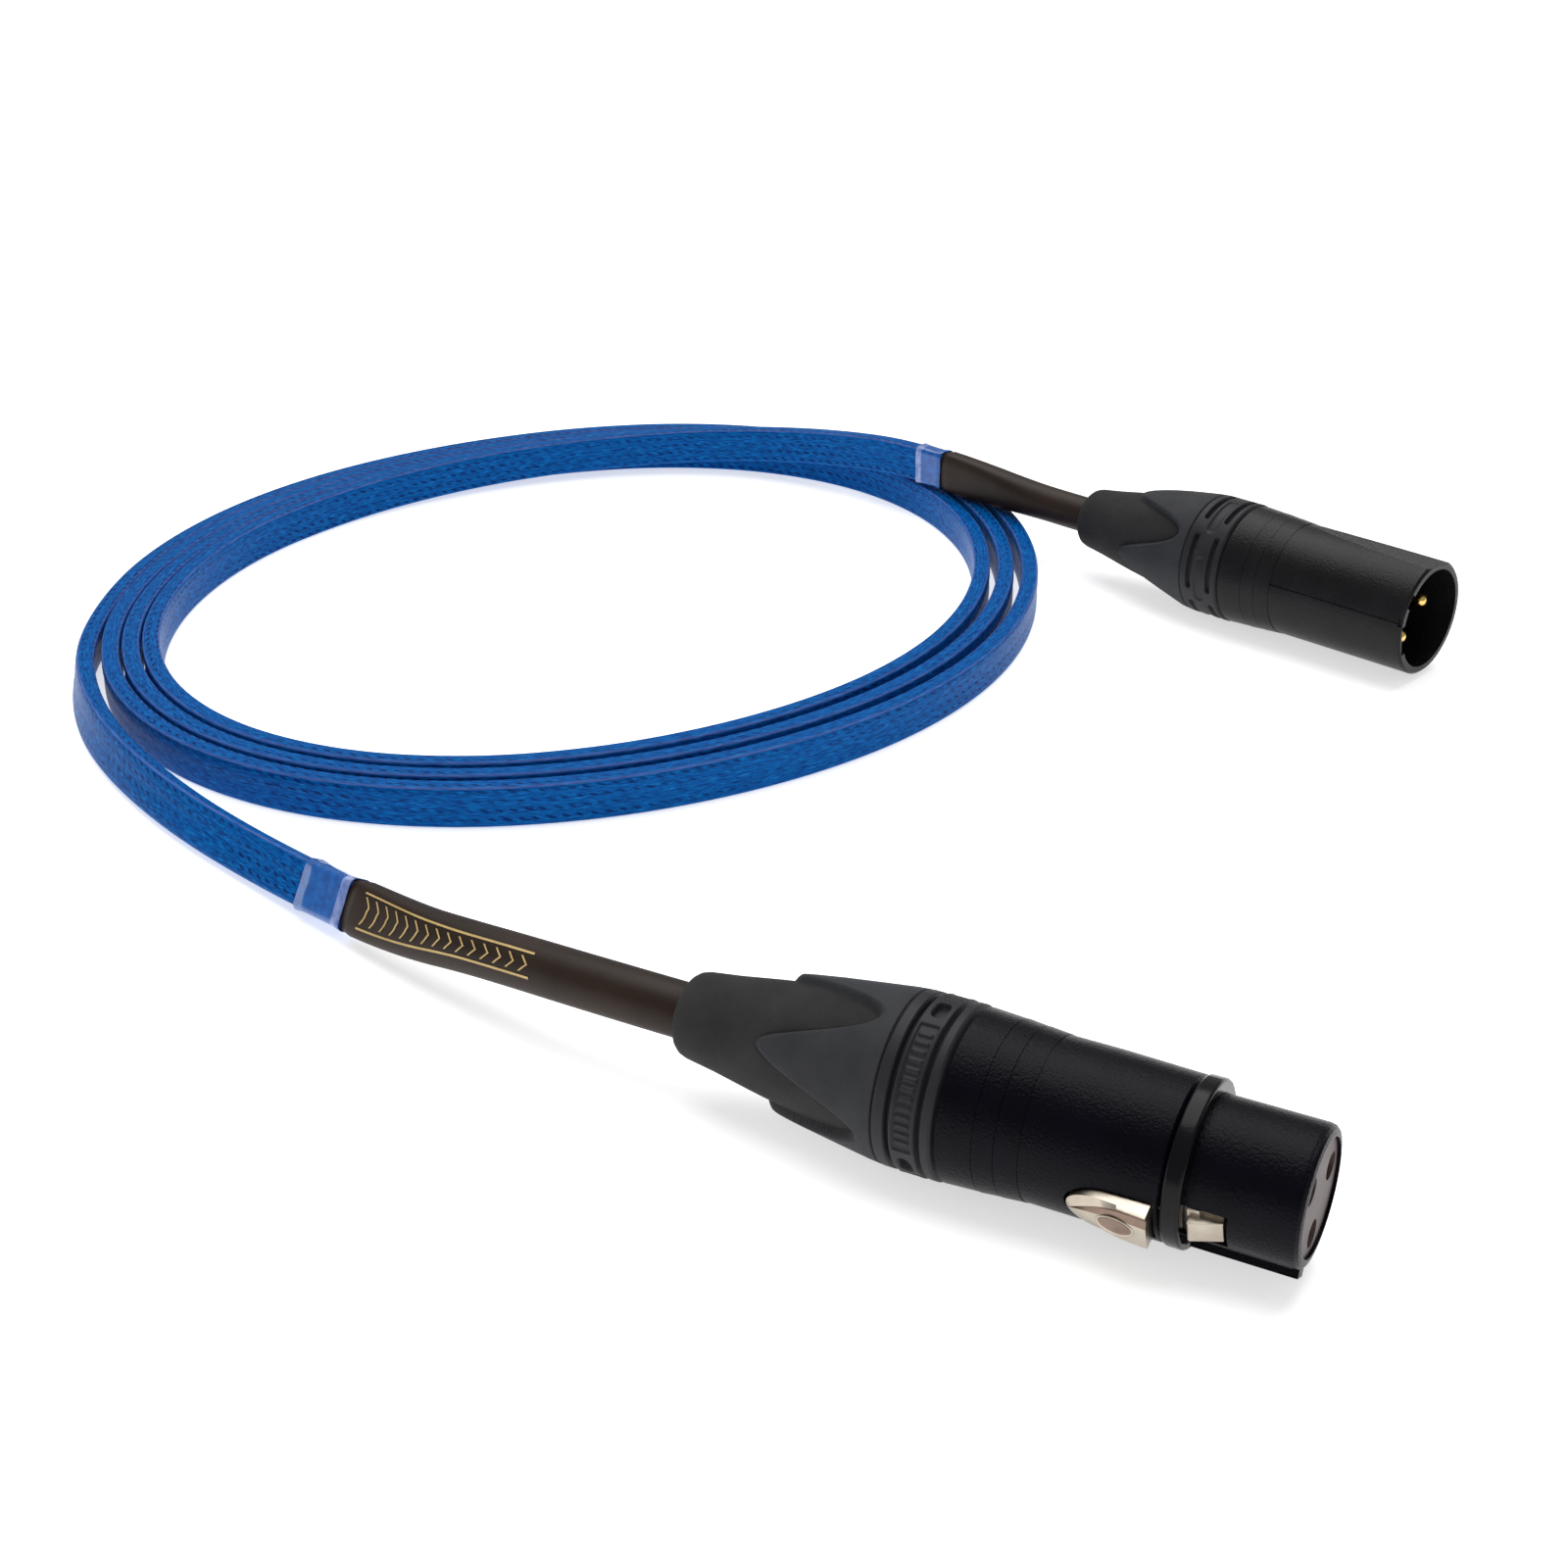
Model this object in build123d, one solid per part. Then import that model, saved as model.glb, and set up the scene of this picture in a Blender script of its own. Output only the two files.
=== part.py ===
from build123d import *
from math import cos, sin, tan, radians, degrees
import os

# All sizes are in millimetres. The assembly lies on the plane z = 0 as it is stored: a flat braided
# cable wound on its edge in an open coil, with a female plug on one end and a male plug on the other.

# --- cable ---------------------------------------------------------------------------------------
RIBBON_HEIGHT = 6.6
RIBBON_THICK = 2.9
SLEEVE_RADIUS = 3.4
SLEEVE_WALL = 0.55
SLEEVE_DEPTH = 36.0
CORE_GAP = 0.05
CORE_RADIUS = SLEEVE_RADIUS - SLEEVE_WALL - CORE_GAP
CONDUCTOR_RADIUS = 0.7
BUNDLE_RADIUS = 1.5
COLLAR_WALL = 0.35
FEMALE_COLLAR_LENGTH = 8.0
MALE_COLLAR_LENGTH = 5.0

# --- coil: the turns wind clockwise seen from above, each one inside the turn before -------------
COIL_CENTRE = (-60.31, 7.52)
COIL_RADIUS = 80.55
COIL_EGG = 3.1
COIL_EGG_ANGLE = -27.5
COIL_OVAL = 6.3
COIL_OVAL_ANGLE = 90.5
COIL_SQUARE = 0.8
COIL_SQUARE_ANGLE = 8.7
COIL_PITCH = 3.64
COIL_PITCH_SWELL = 0.83
COIL_START_ANGLE = 232.8
COIL_TURNS = 3.11
COIL_STEPS = 36

# --- the two stretches that aren't coiled, from the coil's centre, chosen by hand ----------------
FEMALE_REAR = (118.0, -91.8, 10.35)
FEMALE_AZIMUTH = 14.9
MALE_REAR = (52.7, 73.6, 10.35)
MALE_AZIMUTH = 0.0
LEAD_IN = [
    (59.9, -97.58, 4.63),
    (41.6, -97.2, 3.3),
    (17.7, -96.4, 3.3),
    (-5.1, -92.4, 3.3),
    (-22.8, -85.8, 3.3),
    (-38.9, -75.7, 3.3),
    (-49.0, -64.5, 3.3),
]
FEMALE_SLEEVE_ROUTE = [
    (59.9, -97.58, 4.63),
    (70.4, -97.8, 5.4),
    (86.7, -96.6, 8.0),
    (106.4, -94.9, 10.35),
]
LEAD_OUT = [
    (-62.9, -14.3, 3.3),
    (-63.8, -5.4, 3.3),
    (-62.3, 11.3, 3.7),
    (-56.6, 30.5, 4.3),
    (-46.8, 49.0, 4.8),
    (-33.0, 64.2, 5.7),
    (-16.0, 72.5, 7.4),
    (1.0, 74.0, 9.8),
    (13.0, 74.2, 10.8),
    (22.0, 73.97, 10.71),
]
MALE_SLEEVE_ROUTE = [
    (22.0, 73.97, 10.71),
    (31.6, 73.7, 10.6),
    (40.9, 73.6, 10.35),
]
BEND_SHARE = 0.45

# --- boot and bushing, the same on both plugs; heights run along the plug from the boot's rear ---
BOOT_BORE = 3.6
BOOT_LENGTH = 28.4
BOOT_PROFILE = [(4.2, 0.0), (4.9, 0.5), (5.3, 1.5), (5.85, 5.3), (6.75, 10.5), (7.15, 13.1),
                (8.9, BOOT_LENGTH)]
LOBE_COUNT = 4
FEMALE_LOBE_ANGLE = 62.0
MALE_LOBE_ANGLE = 10.0
LOBE_ARC = 66.0
LOBE_PROFILE = [(8.3, 14.6), (8.95, 18.2), (9.6, 23.2), (10.2, 27.6), (10.2, BOOT_LENGTH)]
LOBE_ROOT = 6.0
BUSHING_RADIUS = 10.35
BUSHING_END = 36.3
SPIGOT_START = 18.0
SPIGOT_RADIUS = 6.5
NECK_RADIUS = 7.8
NECK_END = 45.0
BUSHING_BORE = 5.6
PART_GAP = 0.05
EDGE_ROUND = 0.4
GRIP_DEPTH = 0.5
FEMALE_GROOVES = [(30.2, 30.85), (34.0, 34.65)]
PAD_COUNT = 3
PAD_WIDTH = 16.0
HOLE_ANGLE = 91.0
HOLE_WIDTH = 2.6
MALE_SLOTS = [(30.0, 30.9), (33.9, 34.8)]
SLOT_COUNT = 5
SLOT_ARC = 56.0
MALE_SLOT_ANGLE = 96.4

# --- chuck: the slotted tube that grips the sleeve inside the bushing ------------------------------
CHUCK_START = 20.0
CHUCK_END = 42.0
CHUCK_RADIUS = 5.5
CHUCK_BORE = 3.5
CHUCK_SLOT = 1.0
CHUCK_SLOT_LENGTH = 16.0
CHUCK_SLOTS = 2

# --- shells ----------------------------------------------------------------------------------------
SHELL_BORE = 7.85
SHELL_SEAT = 48.0
RING_EDGES = [(36.3, 40.6, 10.2), (40.6, 43.1, 10.02), (43.1, 45.9, 9.84)]
RING_TAPER = 0.22
RING_CHAMFER = 0.1
SHELL_RADIUS = 9.55
SHELL_START = 45.9
SHELL_TAPER_START = 52.0
FEMALE_FACE = 61.9
FEMALE_FACE_RADIUS = 9.35
NOSE_RADIUS = 8.0
NOSE_BORE = 6.7
NOSE_END = 76.6
RIM_ROUND = 1.0
RIM_BREAK = 0.13
RIM_SHOULDER = 0.45
MALE_END = 70.6
CUP_RADIUS = 8.25
CUP_FLOOR = 53.5
CUP_SEAT_GAP = 0.1
CATCH_START = 65.8
CATCH_END = 69.9
CATCH_DEPTH = 0.5
KEYWAY_START = 56.0
KEYWAY_GAP = 0.2
KEY_WIDTH = 2.0
KEY_HEIGHT = 0.85
KEY_START = 64.3
KEY_END = 76.2
FRONT_RING_RADIUS = 9.55
FRONT_RING_END = 64.1

# --- insert and contacts -----------------------------------------------------------------------------
CONTACT_CIRCLE = 4.3
CONTACT_SPACING = 120.0
SOCKET_RADIUS = 1.55
SOCKET_BORE = 1.25
SOCKET_START = 56.0
SOCKET_END = 74.8
SOCKET_FLOOR = 2.0
TAIL_RADIUS = 1.1
TAIL_START = 47.2
FEMALE_INSERT_START = 48.5
FEMALE_INSERT_END = 76.2
PIN_RADIUS = 1.2
PIN_END = 67.5
PIN_TIP_ROUND = 1.08
MALE_INSERT_START = 49.0

# --- latch: angles run from the horizontal on the plug's left, over the top --------------------------
LATCH_ANGLE = 199.0
KEY_ANGLE = LATCH_ANGLE + 45.0
MALE_LATCH_ANGLE = 190.0
MALE_KEY_ANGLE = MALE_LATCH_ANGLE - 45.0
LINE_ANGLE = 168.5
LINE_WIDTH = 0.35
LINE_DEPTH = 0.2
NOTCH_WIDTH = 1.2
NOTCH_LENGTH = 0.7
FACET_ANGLE = 82.0
FACET_START = 47.5
FACET_TILT = 1.9
FACET_BLOCK = (4.0, 20.0, 40.0)
OVERCUT = 1.0
POCKET_WIDTH = 5.2
POCKET_START = 47.8
POCKET_END = 68.9
POCKET_FLOOR = 3.95
POCKET_ROOF = 8.7
LEVER_WIDTH = 4.6
LEVER_LOW = 6.0
LEVER_HIGH = 7.2
LEVER_START = 48.9
LEVER_END = 68.6
PIVOT_ALONG = 49.6
PIVOT_OUT = 6.6
PIVOT_RADIUS = 0.6
PIVOT_BARREL = 1.3
PIVOT_LENGTH = 7.6
BUTTON_MIDDLE = 56.0
BUTTON_NOSE = 4.4
BUTTON_END = 61.0
BUTTON_WIDTH = 5.6
BUTTON_TOP = 10.6
BUTTON_GAP = 0.35
BUTTON_SEAT = 5.2
HOOK_START = 64.8
HOOK_PEAK = 65.4
HOOK_TOP = 8.9
HOOK_WIDTH = 3.2
SPRING_ALONG = 57.5
SPRING_RADIUS = 0.9
SPRING_WIRE = 0.18
SPRING_PITCH = 0.5
SPRING_LOW = 4.2
SPRING_HIGH = 5.75


def from_coil(point):
    """Moves a point given from the coil's centre into the assembly's frame."""
    return (point[0] + COIL_CENTRE[0], point[1] + COIL_CENTRE[1], point[2])


def coil_radius(angle, turns):
    """Distance of the cable's middle from the coil's centre, after that many turns."""
    egg = COIL_EGG * cos(radians(angle - COIL_EGG_ANGLE))
    oval = COIL_OVAL * cos(radians(2 * (angle - COIL_OVAL_ANGLE)))
    square = COIL_SQUARE * cos(radians(4 * (angle - COIL_SQUARE_ANGLE)))
    pitch = COIL_PITCH + COIL_PITCH_SWELL * cos(radians(angle))
    return COIL_RADIUS + egg + oval + square - turns * pitch


def coil_edge(first_turn, offset):
    """One whole turn of the cable's outer or inner face, as points on the plane z = 0."""
    points = []
    for step in range(COIL_STEPS + 1):
        turns = first_turn + step / COIL_STEPS
        angle = COIL_START_ANGLE - 360 * turns
        radius = coil_radius(angle, turns) + offset
        points.append(from_coil((radius * cos(radians(angle)), radius * sin(radians(angle)), 0)))
    return points


def closed_turn(points):
    """Face inside one turn, closed by the short step from its end to its start."""
    turn = Spline(*points)
    step = Line(points[-1], points[0])
    return make_face(Wire([turn, step]))


def cable_coil():
    """The wound stretch as one band: outer face of the first turn, inner face of the last one."""
    outer = closed_turn(coil_edge(0, RIBBON_THICK / 2))
    inner = closed_turn(coil_edge(COIL_TURNS - 1, -RIBBON_THICK / 2))
    return extrude(outer, RIBBON_HEIGHT, dir=(0, 0, 1)) - extrude(inner, RIBBON_HEIGHT, dir=(0, 0, 1))


def smooth_route(name, points):
    """Straight runs joined by tangent arcs, each as large as its two runs allow."""
    places = [Vector(*from_coil(point)) for point in points]
    radii = []
    for before, corner, after in zip(places, places[1:], places[2:]):
        arriving = corner - before
        leaving = after - corner
        half_turn = radians(arriving.get_angle(leaving)) / 2
        radii.append(BEND_SHARE * min(arriving.length, leaving.length) / tan(half_turn))
    print(name, "bend radii", [round(radius, 1) for radius in radii])
    return FilletPolyline(*places, radius=radii)


def square_to(path):
    """Plane across a path's start, with its y axis as near upright as the path allows."""
    along = path % 0
    side = Vector(along.Y, -along.X, 0)
    return Plane(origin=path @ 0, x_dir=side, z_dir=along)


def ribbon(name, points):
    """Flat cable standing on its edge along a route."""
    path = smooth_route(name, points)
    section = square_to(path) * Rectangle(RIBBON_THICK, RIBBON_HEIGHT)
    solid = sweep(section, path=path)
    print(name, "volume", round(solid.volume), "section x length",
          round(RIBBON_THICK * RIBBON_HEIGHT * path.length))
    return solid


def plug_plane(rear, azimuth):
    """Plane at a boot's rear: z runs along the plug, x to its left and y up."""
    turn = radians(azimuth)
    return Plane(origin=from_coil(rear), x_dir=(-sin(turn), cos(turn), 0), z_dir=(cos(turn), sin(turn), 0))


def into_plug(points, rear, azimuth, depth):
    """Route that goes on straight into the plug, to a depth from the boot's rear."""
    turn = radians(azimuth)
    return points + [(rear[0] + depth * cos(turn), rear[1] + depth * sin(turn), rear[2])]


def female_inside(depth):
    """Route of the female end's sleeve and core."""
    return into_plug(FEMALE_SLEEVE_ROUTE, FEMALE_REAR, FEMALE_AZIMUTH, depth)


def male_inside(depth):
    """Route of the male end's sleeve and core."""
    return into_plug(MALE_SLEEVE_ROUTE, MALE_REAR, MALE_AZIMUTH, depth)


def sleeve(name, points):
    """Round heat-shrunk sleeve, from the flat cable's end into the chuck."""
    path = smooth_route(name, points)
    section = Circle(SLEEVE_RADIUS) - Circle(SLEEVE_RADIUS - SLEEVE_WALL)
    return sweep(square_to(path) * section, path=path)


def cable_core(name, points):
    """Round inner cable that the sleeve covers."""
    path = smooth_route(name, points)
    return sweep(square_to(path) * Circle(CORE_RADIUS), path=path)


def end_collar(length, place, towards):
    """Clear shrunk band round the flat cable, just before the sleeve."""
    along = Vector(*towards) - Vector(*place)
    plane = Plane(origin=from_coil(place), x_dir=(along.Y, -along.X, 0), z_dir=along.normalized())
    gap = 2 * PART_GAP
    hole = Rectangle(RIBBON_THICK + gap, RIBBON_HEIGHT + gap)
    outline = Rectangle(RIBBON_THICK + gap + 2 * COLLAR_WALL, RIBBON_HEIGHT + gap + 2 * COLLAR_WALL)
    return extrude(plane * (outline - hole), length, dir=plane.z_dir)


def rod(radius, start, end):
    """Round bar on the plug's axis."""
    return Pos(0, 0, start) * Cylinder(radius, end - start, align=(Align.CENTER, Align.CENTER, Align.MIN))


def tube(radius, bore, start, end):
    """Round tube on the plug's axis."""
    return rod(radius, start, end) - rod(bore, start, end)


def turned(profile, bore, arc=360.0):
    """Solid of revolution about the plug's axis from (radius, height) points, with a plain bore."""
    outline = [(bore, profile[0][1])] + profile + [(bore, profile[-1][1])]
    return revolve(Plane.XZ * make_face(Polyline(*outline, close=True)), axis=Axis.Z, revolution_arc=arc)


def at_angle(shape, angle):
    """Turns a feature made along +x round the plug's axis."""
    return Rot(0, 0, angle) * shape


def block(low, high, width, start, end):
    """Box that reaches out from the plug's axis along +x."""
    return Pos((low + high) / 2, 0, (start + end) / 2) * Box(high - low, width, end - start)


def conductors(angle):
    """The insulated conductors, fanned out from the cable's end to the contacts."""
    wires = []
    for index in range(3):
        turn = angle + CONTACT_SPACING * index
        route = Line((BUNDLE_RADIUS, 0, CHUCK_END), (CONTACT_CIRCLE, 0, TAIL_START))
        section = Plane(origin=route @ 0, z_dir=route % 0) * Circle(CONDUCTOR_RADIUS)
        wires.append(at_angle(sweep(section, path=route), turn))
    return Compound(children=wires)


def boot(first_lobe):
    """Soft tapered boot with four raised lobes, the first one centred on that angle."""
    body = turned(BOOT_PROFILE, BOOT_BORE)
    for index in range(LOBE_COUNT):
        turn = first_lobe + 360 / LOBE_COUNT * index - LOBE_ARC / 2
        body += at_angle(turned(LOBE_PROFILE, LOBE_ROOT, LOBE_ARC), turn)
    return body - rod(SPIGOT_RADIUS + PART_GAP, SPIGOT_START - PART_GAP, BOOT_LENGTH)


def bushing_blank():
    """Bushing before its grip is cut: spigot in the boot, outer collar, and the neck in the shell."""
    collar = rod(BUSHING_RADIUS, BOOT_LENGTH + PART_GAP, BUSHING_END - PART_GAP)
    collar = fillet(collar.edges().filter_by(GeomType.CIRCLE), EDGE_ROUND)
    spigot = rod(SPIGOT_RADIUS, SPIGOT_START, BOOT_LENGTH + OVERCUT)
    neck = rod(NECK_RADIUS, BUSHING_END - OVERCUT, NECK_END)
    return collar + spigot + neck - rod(BUSHING_BORE, SPIGOT_START, NECK_END)


def arc_slot(arc, start, end):
    """Ring sector as deep as the grip, centred on +x, that cuts a slot round the collar."""
    deep = BUSHING_RADIUS - GRIP_DEPTH
    beyond = BUSHING_RADIUS + OVERCUT
    outline = [(deep, start), (beyond, start), (beyond, end), (deep, end)]
    sector = revolve(Plane.XZ * make_face(Polyline(*outline, close=True)), axis=Axis.Z, revolution_arc=arc)
    return at_angle(sector, -arc / 2)


def female_bushing():
    """Collar with two deep grooves, and raised pads with holes between them."""
    body = bushing_blank()
    for start, end in FEMALE_GROOVES:
        body -= tube(BUSHING_RADIUS + OVERCUT, BUSHING_RADIUS - 2 * GRIP_DEPTH, start, end)
    middle = (FEMALE_GROOVES[0][1], FEMALE_GROOVES[1][0])
    between_pads = 360 / PAD_COUNT - degrees(PAD_WIDTH / BUSHING_RADIUS)
    for index in range(PAD_COUNT):
        turn = HOLE_ANGLE + 360 / PAD_COUNT * index
        hole = block(BUSHING_RADIUS - 2 * GRIP_DEPTH, BUSHING_RADIUS + OVERCUT, HOLE_WIDTH, *middle)
        body -= at_angle(arc_slot(between_pads, *middle) + hole, turn)
    return body


def male_bushing():
    """Collar with two rows of long grip slots."""
    body = bushing_blank()
    for start, end in MALE_SLOTS:
        for index in range(SLOT_COUNT):
            body -= at_angle(arc_slot(SLOT_ARC, start, end), MALE_SLOT_ANGLE + 360 / SLOT_COUNT * index)
    return body


def chuck():
    """Cable clamp: a tube slotted from its rear end, so that it can close on the sleeve."""
    body = tube(CHUCK_RADIUS, CHUCK_BORE, CHUCK_START, CHUCK_END)
    for index in range(CHUCK_SLOTS):
        slot = block(-CHUCK_RADIUS - OVERCUT, CHUCK_RADIUS + OVERCUT, CHUCK_SLOT, CHUCK_START - OVERCUT,
                     CHUCK_START + CHUCK_SLOT_LENGTH)
        body -= at_angle(slot, 180 / CHUCK_SLOTS * index)
    return body


def ringed_profile():
    """Outline of a shell's rear: three shallow rings, each falling from its chamfered rear edge."""
    points = []
    for start, end, radius in RING_EDGES:
        points += [(radius - RING_CHAMFER, start), (radius, start + RING_CHAMFER), (radius - RING_TAPER, end)]
    return points


def button_block(grow, low, high):
    """The button's outline, rounded at the rear and square in front, as a block along +x."""
    rear = Ellipse(BUTTON_NOSE + grow, BUTTON_WIDTH / 2 + grow)
    front_length = BUTTON_END - BUTTON_MIDDLE + grow
    front = Pos(front_length / 2, 0) * Rectangle(front_length, BUTTON_WIDTH + 2 * grow)
    base = Plane(origin=(low, 0, BUTTON_MIDDLE), x_dir=(0, 0, 1), z_dir=(1, 0, 0))
    half_rear = rear - Pos(2 * BUTTON_NOSE, 0) * Rectangle(4 * BUTTON_NOSE, 4 * BUTTON_WIDTH)
    return extrude(base * (half_rear + front), high - low, dir=(1, 0, 0))


def pivot(radius, length):
    """Round bar across the plug at the latch's pivot."""
    return Pos(PIVOT_OUT, 0, PIVOT_ALONG) * Rot(90, 0, 0) * Cylinder(radius, length)


def female_shell():
    """Metal shell with its nose, the latch's pocket and window, and the key rib."""
    profile = ringed_profile()
    profile += [(SHELL_RADIUS, SHELL_START), (SHELL_RADIUS, SHELL_TAPER_START)]
    profile += [(FEMALE_FACE_RADIUS, FEMALE_FACE - EDGE_ROUND)]
    profile += [(FEMALE_FACE_RADIUS - EDGE_ROUND, FEMALE_FACE), (NOSE_RADIUS, FEMALE_FACE)]
    profile += [(NOSE_RADIUS, NOSE_END - RIM_ROUND), (NOSE_RADIUS - RIM_BREAK, NOSE_END - RIM_SHOULDER)]
    profile += [(NOSE_RADIUS - RIM_SHOULDER, NOSE_END - RIM_BREAK), (NOSE_RADIUS - RIM_ROUND, NOSE_END)]
    body = turned(profile, NOSE_BORE) - rod(SHELL_BORE, BUSHING_END, SHELL_SEAT)
    key = block(NOSE_RADIUS - EDGE_ROUND, NOSE_RADIUS + KEY_HEIGHT, KEY_WIDTH, KEY_START, KEY_END)
    body += at_angle(key, KEY_ANGLE)
    pocket = block(NOSE_BORE - OVERCUT, POCKET_ROOF, POCKET_WIDTH, POCKET_START, POCKET_END)
    window = button_block(BUTTON_GAP, NOSE_BORE - OVERCUT, SHELL_RADIUS + OVERCUT)
    return body - at_angle(pocket + window + pivot(PIVOT_RADIUS, PIVOT_LENGTH), LATCH_ANGLE)


def female_front_ring():
    """Separate rounded ring round the nose, against the shell's face."""
    ring = tube(FRONT_RING_RADIUS, NOSE_RADIUS + PART_GAP, FEMALE_FACE + PART_GAP, FRONT_RING_END)
    return fillet(ring.edges().filter_by(GeomType.CIRCLE).sort_by(SortBy.RADIUS)[-2:], EDGE_ROUND)


def female_insert():
    """Insulating block with three socket holes, and room for the latch lever and its button."""
    body = rod(NOSE_BORE - PART_GAP, FEMALE_INSERT_START, FEMALE_INSERT_END)
    channel_start = FEMALE_INSERT_START - OVERCUT
    channel = block(POCKET_FLOOR, NOSE_BORE + OVERCUT, POCKET_WIDTH, channel_start, POCKET_END)
    channel += button_block(BUTTON_GAP, BUTTON_SEAT, NOSE_BORE + OVERCUT)
    body -= at_angle(channel + pivot(PIVOT_RADIUS, PIVOT_LENGTH), LATCH_ANGLE)
    hole = Pos(CONTACT_CIRCLE, 0, 0) * rod(SOCKET_RADIUS + PART_GAP, FEMALE_INSERT_START, FEMALE_INSERT_END)
    for index in range(3):
        body -= at_angle(hole, LATCH_ANGLE - CONTACT_SPACING / 2 + CONTACT_SPACING * index)
    return body


def female_contacts():
    """Three tubular sockets with solder tails."""
    socket = tube(SOCKET_RADIUS, SOCKET_BORE, SOCKET_START, SOCKET_END)
    socket += rod(SOCKET_RADIUS, SOCKET_START - SOCKET_FLOOR, SOCKET_START)
    socket += rod(TAIL_RADIUS, TAIL_START, SOCKET_START)
    return contact_group(socket, LATCH_ANGLE)


def contact_group(contact, latch_angle):
    """Three contacts on their circle, two of them beside the latch's side."""
    first = latch_angle - CONTACT_SPACING / 2
    turns = [first + CONTACT_SPACING * index for index in range(3)]
    return Compound(children=[at_angle(Pos(CONTACT_CIRCLE, 0, 0) * contact, turn) for turn in turns])


def latch_lever():
    """One-piece lever: pivot barrel, flat bar, oval press button and catch hook."""
    bar = block(LEVER_LOW, LEVER_HIGH, LEVER_WIDTH, LEVER_START, LEVER_END)
    barrel = pivot(PIVOT_BARREL, LEVER_WIDTH)
    button = button_block(0, LEVER_HIGH - EDGE_ROUND, BUTTON_TOP)
    button = fillet(button.faces().sort_by(Axis.X)[-1].edges(), EDGE_ROUND)
    outline = [(LEVER_HIGH - EDGE_ROUND, HOOK_START), (HOOK_TOP, HOOK_START), (HOOK_TOP, HOOK_PEAK),
               (LEVER_HIGH - EDGE_ROUND, LEVER_END)]
    side = Plane.XZ.offset(-HOOK_WIDTH / 2) * make_face(Polyline(*outline, close=True))
    hook = extrude(side, HOOK_WIDTH)
    return bar + barrel + button + hook - pivot(PIVOT_RADIUS + PART_GAP, PIVOT_LENGTH)


def latch_spring():
    """Small compression spring between the insert's channel and the lever."""
    path = Helix(SPRING_PITCH, SPRING_HIGH - SPRING_LOW, SPRING_RADIUS)
    wire = sweep(Plane(origin=path @ 0, z_dir=path % 0) * Circle(SPRING_WIRE), path=path, is_frenet=True)
    return Pos(SPRING_LOW, 0, SPRING_ALONG) * Rot(0, 90, 0) * wire


def male_shell():
    """Metal shell with the open cup round the pins, the catch groove and the keyway."""
    profile = ringed_profile()
    profile += [(SHELL_RADIUS, SHELL_START), (SHELL_RADIUS, MALE_END - EDGE_ROUND)]
    profile += [(SHELL_RADIUS - EDGE_ROUND, MALE_END)]
    body = turned(profile, CUP_RADIUS)
    body += tube(SHELL_RADIUS - EDGE_ROUND, SHELL_BORE, BUSHING_END, MALE_INSERT_START - CUP_SEAT_GAP)
    low = CUP_RADIUS - OVERCUT
    beyond = MALE_END + OVERCUT
    catch = block(low, CUP_RADIUS + CATCH_DEPTH, POCKET_WIDTH, CATCH_START, beyond)
    catch += block(low, HOOK_TOP + KEYWAY_GAP, POCKET_WIDTH, CATCH_START, CATCH_END)
    keyway_top = NOSE_RADIUS + KEY_HEIGHT + KEYWAY_GAP
    keyway = block(low, keyway_top, KEY_WIDTH + 2 * KEYWAY_GAP, KEYWAY_START, beyond)
    line = block(SHELL_RADIUS - LINE_DEPTH, SHELL_RADIUS + OVERCUT, LINE_WIDTH, SHELL_START, beyond)
    notch_start = MALE_END - NOTCH_LENGTH
    line += block(SHELL_RADIUS - 2 * LINE_DEPTH, SHELL_RADIUS + OVERCUT, NOTCH_WIDTH, notch_start, beyond)
    body -= at_angle(catch, MALE_LATCH_ANGLE) + at_angle(keyway, MALE_KEY_ANGLE) + at_angle(line, LINE_ANGLE)
    corner = (Align.MIN, Align.CENTER, Align.MIN)
    facet = Pos(SHELL_RADIUS, 0, FACET_START) * Rot(0, -FACET_TILT, 0) * Box(*FACET_BLOCK, align=corner)
    return body - at_angle(facet, FACET_ANGLE)


def male_insert():
    """Insulating disc that carries the pins, the floor of the cup."""
    body = rod(CUP_RADIUS - PART_GAP, MALE_INSERT_START, CUP_FLOOR)
    for index in range(3):
        hole = Pos(CONTACT_CIRCLE, 0, 0) * rod(PIN_RADIUS + PART_GAP, MALE_INSERT_START, CUP_FLOOR)
        body -= at_angle(hole, MALE_LATCH_ANGLE - CONTACT_SPACING / 2 + CONTACT_SPACING * index)
    return body


def male_pins():
    """Three pins with rounded tips and solder tails."""
    pin = rod(PIN_RADIUS, TAIL_START, PIN_END)
    pin = fillet(pin.edges().filter_by(GeomType.CIRCLE).sort_by(Axis.Z)[-1], PIN_TIP_ROUND)
    return contact_group(pin, MALE_LATCH_ANGLE)


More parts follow.
